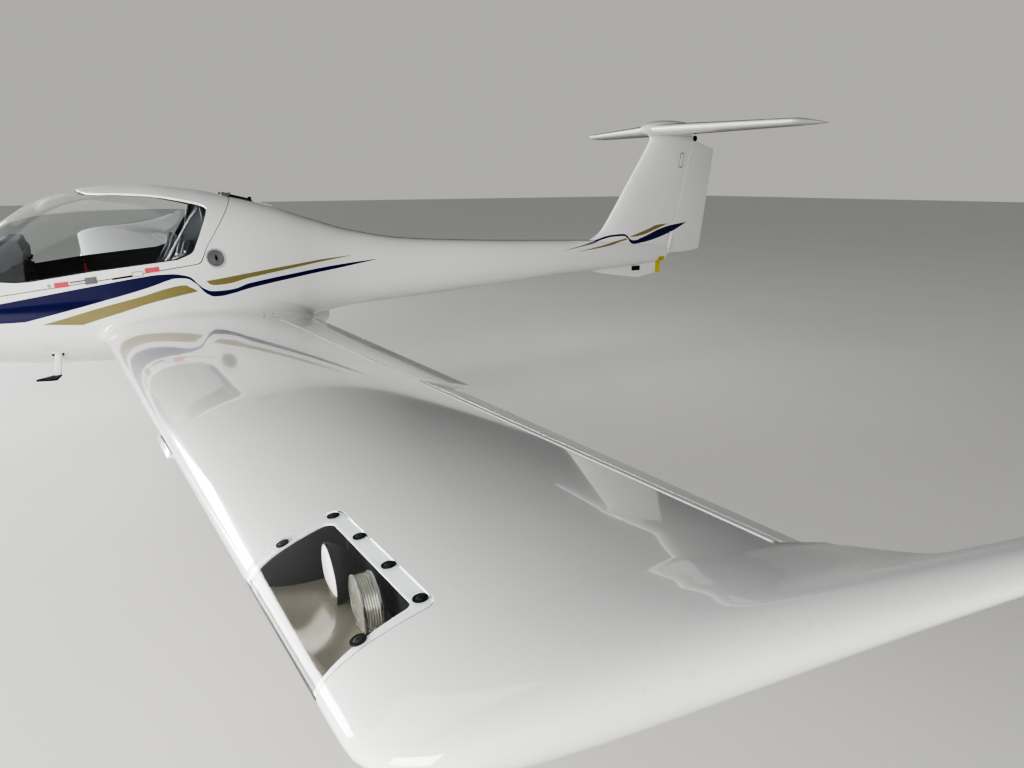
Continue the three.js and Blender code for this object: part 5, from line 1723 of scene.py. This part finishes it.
def makeCabin():
    bulkhead = insideHull(prism(cabin["bulkhead"], -560, 560), -16)
    finish(bulkhead, "rearBulkhead", "carpet", "cabin_black", ["rear_bulkhead"])
    for side, label in sides:
        y = side * seats["middle"]
        boot = lathe([(0, 30), (40, 30), (38, 42), (30, 56), (33, 66), (24, 82), (27, 92), (17, 112),
                      (13, 150), (0, 150)], at(231, y, 540), (0, 0, 1), 40)
        finish(insideHull(asObject("boot", boot)), "stickBoot." + label, "leather", "cabin_black")
        stick = limbSolid([((231, y, 520), 11, 11), ((229, y, 700), 11, 11), ((216, y, 860), 12, 12),
                           ((212, y, 900), 15, 15), ((207, y, 950), 16, 17), ((204, y, 984), 14, 15),
                           ((203, y, 992), 6, 6)], (0, 1, 0), 2, 28, 60)
        finish(insideHull(stick), "controlStick." + label, "blackTrim", "cabin_black",
               ["control_stick_" + label])
    bar = bmesh.new()
    rodMesh(bar, at(700, -400, 790), at(700, 400, 790), 0.012, segments=32)
    for y in (-360, -190, 190, 360):
        block(bar, at(694, y, 838), (0.013, 0.08, 0.104))
    rodMesh(bar, at(700, 0, 620), at(700, 0, 790), 0.014, segments=24)
    finish(insideHull(asObject("pedals", bar)), "rudderPedals", "brushedMetal", "steel", ["rudder_pedals"])
    floor = cut(hullSolid(-12.6, 860, -600, 88), hullSolid(-19, 880, -620, 88))
    floor = keep(floor, boxTool((-610, -900, 400), (870, 900, 1200)))
    floor = cut(floor, prism(canopyEdge(6)))
    finish(floor, "cabinLining", "carpet", "cabin_black")
    seal = cut(hullSolid(-19.6, 862, -560, 88), hullSolid(-22.5, 880, -580, 88))
    seal = cut(keep(seal, prism(canopyEdge(16))), prism(canopyEdge(-16)))
    finish(seal, "sillSeal", "carpet", "cabin_black")
    lining = insideHull(prism(cabin["lining"], -560, 560), -25)
    finish(lining, "rearLining", "carpet", "cabin_black")
    shelf = keep(hullSolid(-13.2, -590, -860, 88), boxTool((-850, -900, 1098), (-612, 900, 1106)))
    finish(shelf, "rearShelf", "carpet", "cabin_black")
    print("cabin lining made")


# Roll bar inside the rear of the canopy, with a brace and its bracket
def makeRollBar():
    rows = []
    for k in range(25):
        angle = math.pi * (0.045 + 0.91 * k / 24)
        top = hullPoint(-640, angle, -46)
        rows.append((Vector((-628 - 0.10 * (top[2] - 1150), top[1], top[2])), 15, 15))
    bar = limbSolid([(tuple(place), wide, thick) for place, wide, thick in rows], (1, 0, 0), 2, 24, 96)
    finish(bar, "rollBar", "blackTrim", "cabin_black")
    brace = limbSolid([((-634, 280, 1488), 9, 9), ((-560, 345, 1404), 9, 9), ((-490, 402, 1308), 9, 9),
                       ((-405, 460, 1186), 9, 9), ((-384, 474, 1150), 9, 9)], (1, 0, 0), 2, 20, 40)
    finish(brace, "rollBarBrace", "brushedMetal", "steel")
    bm = bmesh.new()
    for x, y, z, radius in ((-402, 478, 1180, 15), (-462, 470, 1216, 11), (-486, 462, 1188, 9),
                            (-512, 452, 1228, 8)):
        rodMesh(bm, at(x, y - 12, z), at(x, y + 10, z), mm(radius), segments=6 if radius < 12 else 32)
    block(bm, at(-470, 458, 1192), (0.075, 0.006, 0.03), Matrix.Rotation(0.5, 4, "Y"))
    finish(softEdges(asObject("bracket", bm), 0.001), "braceBracket", "brushedMetal", "steel")
    print("roll bar made")


# Inside trim of the canopy: a dark band under the glass edge, seen through the glass
def makeCanopyTrim():
    shell = cut(hullSolid(-12.4, 800, -880, 96), hullSolid(-17, 820, -900, 96))
    band = keep(shell, prism(canopyEdge(-8)))
    opening = cut(prism(insetOutline(glassEdge, 6)), roofPrism(6))
    band = cut(band, opening)
    finish(band, "canopyTrim", "blackTrim", "cabin_black", body="canopy")
    print("canopy trim made")


# Red canopy handles hanging on the inner walls, with a black finger stop above the sill
def makeHandles():
    for side, label in sides:
        rows = [((22, side * 538, 1122), 5, 4), ((20, side * 537, 1104), 6, 4.5),
                ((16, side * 536, 1070), 8, 5), ((12, side * 535, 1040), 12, 5.5),
                ((11, side * 535, 1022), 16, 5)]
        finish(limbSolid(rows, (1, 0, 0), 3, 28, 32), "canopyHandle." + label, "redPlastic", "cabin_black")
        bm = bmesh.new()
        rodMesh(bm, at(22, side * 532, 1110), at(22, side * 556, 1110), 0.011, segments=28)
        rodMesh(bm, at(22, side * 538, 1120), at(25, side * 538, 1158), 0.0035, 0.0025, 16)
        finish(bm, "handlePivot." + label, "blackTrim", "cabin_black")
    print("canopy handles made")


# Details on the canopy's sill, on the left and the right side: station, height, length, width
sill = {"dot": (234, 1081), "plates": [(174, 1083.5, 71, 30), (-302, 1139, 80, 29)],
        "latch": (26, 1102, 60, 30), "slotShades": [(90, 1098.5, 82, 5), (-137, 1104, 108, 6)],
        "label": (-221, 1120.5, 62, 30), "slant": -0.07}


def sillPiece(x, z, long, wide, thick, side, slant=0.0, grow=0.0):
    bm = bmesh.new()
    bmesh.ops.create_grid(bm, x_segments=12, y_segments=4, size=0.5)
    for vert in bm.verts:
        a, b = vert.co.x * long, vert.co.y * wide
        vert.co, _ = hullSide(x + a, z + b + a * slant, side, grow)
    bmesh.ops.solidify(bm, geom=list(bm.verts) + list(bm.edges) + list(bm.faces), thickness=mm(thick))
    bmesh.ops.recalc_face_normals(bm, faces=bm.faces)
    return asObject("sillPiece", bm)


def makeSill():
    for side, label in sides:
        for k, (x, z, long, wide) in enumerate(sill["plates"]):
            finish(sillPiece(x, z, long, wide, 0.5, side, sill["slant"], 0.45), "redPlate." + label + str(k),
                   "decalRed", "cabin_black", body="canopy")
        x, z, long, wide = sill["latch"]
        finish(softEdges(sillPiece(x, z, long, wide, 9, side, sill["slant"], 5), 0.002),
               "latchBlock." + label, "greyTrim", "engine_metal", body="canopy")
        # The slots are thin black strips on the skin that paint the shade inside them
        for k, (x, z, long, wide) in enumerate(sill["slotShades"]):
            finish(sillPiece(x, z, long, wide, 1.2, side, -0.1, 0.7), "sillSlotShade." + label + str(k),
                   "blackTrim", "cabin_black", body="canopy")
        x, z, long, wide = sill["label"]
        outer = sillPiece(x, z, long, wide, 0.7, side, sill["slant"], 0.5)
        inner = sillPiece(x, z, long - 8, wide - 8, 0.7, side, sill["slant"], 0.8)
        finish(outer, "frameMark." + label, "greyTrim", "cabin_grey", body="canopy")
        finish(inner, "frameMarkFill." + label, "whitePaint", "white_paint", body="canopy")
        x, z = sill["dot"]
        place, normal = hullSide(x, z, side)
        bm = bmesh.new()
        rodMesh(bm, place - normal * 0.002, place + normal * 0.0022, 0.011, 0.010, 32)
        finish(bm, "sillLock." + label, "brushedMetal", "steel", body="canopy")
    print("sill details made")


# Marks at the tail: a white strip and a round opening on the fin, drawn as a black disc that paints the shade
# inside it, a bare dark plate and yellow tape
tailMarks = {"strip": [(-4916, 1888), (-4948, 1884), (-4927, 1766), (-4891, 1771)], "hole": (-5084, 2023, 25),
             "stripEdge": [(-4911, 1895), (-4954, 1890), (-4932, 1759), (-4886, 1765)],
             "plate": (-4449, 857, 96, 42), "tape": (-4683, -4743), "ventral": 9}


def finSide(x, z):
    lead, trail = finLine("lead", z), finLine("trail", z)
    share = min(max((lead - x) / (lead - trail), 0.0), 1.0)
    return (lead - trail) * halfThickness(share, finSpec["thickness"])


def makeTailMarks():
    for side, label in sides:
        for key, rise, look, slot in (("strip", 5, "frostedLens", "white_paint"),
                                      ("stripEdge", 1.8, "blackTrim", "cabin_black")):
            outline = [at(x, side * (finSide(x, z) - 1), z) for x, z in tailMarks[key]]
            finish(softEdges(spread(outline, (0, side * mm(rise), 0)), 0.0008), key + "." + label, look, slot)
        # The round opening is a black disc on the skin that paints the shade inside it
        x, z, radius = tailMarks["hole"]
        y = finSide(x, z)
        ring = lathe([(0, -4), (radius, -4), (radius, 0.7), (radius - 1.5, 1), (0, 1)], at(x, side * y, z),
                     (0, side, 0), 48)
        finish(ring, "finHoleShade." + label, "blackTrim", "cabin_black")
        x, z, long, high = tailMarks["plate"]
        y = tailMarks["ventral"]
        plate = boxTool((x - long / 2, min(side * y, side * (y + 1)), z - high / 2),
                        (x + long / 2, max(side * y, side * (y + 1)), z + high / 2))
        finish(softEdges(plate, 0.0004), "barePlate." + label, "blackTrim", "cabin_black")
    front, back = tailMarks["tape"]
    tape = prism([(front, 960), (front, 800.5), (-4741.5, 810.5, 18), (-4741.5, 960)], -10.2, 10.2)
    finish(cut(tape, hullSolid(0.2, -4500, -4780, 72)), "ventralTape", "yellowTape", "cabin_grey")
    band = cut(hullSolid(1.0, -4640, -4775, 72), hullSolid(0.2, -4630, -4782, 72))
    band = keep(band, boxTool((back - 20, -200, 850), (front, 200, 958)))
    finish(band, "boomTape", "yellowTape", "cabin_grey")
    print("tail marks made")


# Tip lights, and small drops of sealant on the aileron's rear edge
tipLight = {"rows": [((-1192, 5343, 184), 19, 13), ((-1168, 5367, 185), 18.5, 12),
                     ((-1152, 5383, 185), 15, 9.5), ((-1143, 5392, 185), 9, 6), ((-1140, 5395, 185), 3, 2)],
            "drops": [3395, 3440, 3485, 3530, 3840], "flapDrop": 1600}
wingFitting = {"strip": (3232, 3480), "stripWide": 10, "lugY": 3150, "lug": (-430, -370, 15)}


def makeWingFittings():
    spec = wingFitting
    for side, label in sides:
        ends = [(leadX(y) + 4, side * y, leadZ(y) - 6) for y in spec["strip"]]
        strip = rodTool(at(*ends[0]), at(*ends[1]), mm(spec["stripWide"]), segments=3)
        finish(softEdges(strip, 0.001), "stallStrip." + label, "whitePaint", "white_paint")
        back, front, half = spec["lug"]
        x, z = leadX(spec["lugY"]), leadZ(spec["lugY"])
        low, high = sorted((side * (spec["lugY"] - half), side * (spec["lugY"] + half)))
        lug = prism([(x + back, z - 30), (x + front, z - 30), (x + front - 6, z - 75, 16),
                     (x + back + 6, z - 75, 16)], low, high)
        eye = rodTool(at((x * 2 + back + front) / 2, low - 5, z - 55),
                      at((x * 2 + back + front) / 2, high + 5, z - 55), 0.009)
        finish(cut(lug, eye), "tieDownLug." + label, "whitePaint", "white_paint")
    print("wing fittings made")


def makeTipLights():
    rows = [((x, y, leadZ(y) + rise), wide, thick) for (x, y, rise), wide, thick in tipLight["rows"]]
    lamp = cut(limbSolid(rows, (1, -1, 0), 2, 32, 24), wingSolid(tipSections(), -0.3))
    finish(mirrorOf(lamp), "tipLight.right", "greenGlass", "green_glass", ["tip_light_right"])
    finish(lamp, "tipLight.left", "redGlass", "red_glass", ["tip_light_left"])
    bm = bmesh.new()
    start, _ = wingHinge(wingShape["aileron"][0])
    end, _ = wingHinge(wingShape["aileron"][1])
    turn = Matrix.Rotation(math.radians(-wingShape["droop"]), 3, end - start)
    for y in tipLight["drops"]:
        place = at(*wingPoint(straightRow(y), 0.16))
        bmesh.ops.create_uvsphere(bm, u_segments=16, v_segments=10, radius=0.0032,
                                  matrix=Matrix.Translation(start + turn @ (place - start)))
    finish(bm, "sealantDrops", "whitePaint", "white_paint", body="aileron_left_body")
    bm = bmesh.new()
    place = Matrix.Translation(at(*wingPoint(straightRow(tipLight["flapDrop"]), 0.16)))
    bmesh.ops.create_uvsphere(bm, u_segments=20, v_segments=12, radius=0.0045, matrix=place)
    finish(bm, "sealantDrop", "whitePaint", "white_paint", body="flap_left_body")
    print("tip lights made")


def dressNodes(dressed):
    # CAD nodes whose shapes stay get their finish here
    for node, look in dressed.items():
        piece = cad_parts[node]
        piece.data.materials.clear()
        piece.data.materials.append(surfaces[look])


makeCamera()
makeStudio()
for name in finishes:
    surfaces[name] = plainFinish(name)
for name, stripes in (("whitePaint", []), ("stripedPaint", sideStripes + finStripes),
                      ("finPaint", finStripes)):
    surfaces[name] = whitePaint(name, stripes)
for name, tint in glassTints.items():
    surfaces[name] = clearFinish(name, tint)
print("finishes made")
makeWings()
makeLips()
makeLandingLight()
makeWingFittings()
makeAirframe()
makeRootFairings()
makeCanopy()
makeCanopyTrim()
makeHandles()
makeSill()
makeCowling()
makeTail()
makeTailMarks()
makePropeller()
for name, side in (("nose", 1), ("main", 1), ("main", -1)):
    makeWheel(name, side)
print("wheels made")
makeMainLegs()
makeNoseGear()
makeOutside()
makePanel()
makeConsole()
makeSeats()
makeCabin()
makeRollBar()
makeTipLights()
dressNodes({"engine_block": "engineMetal"})
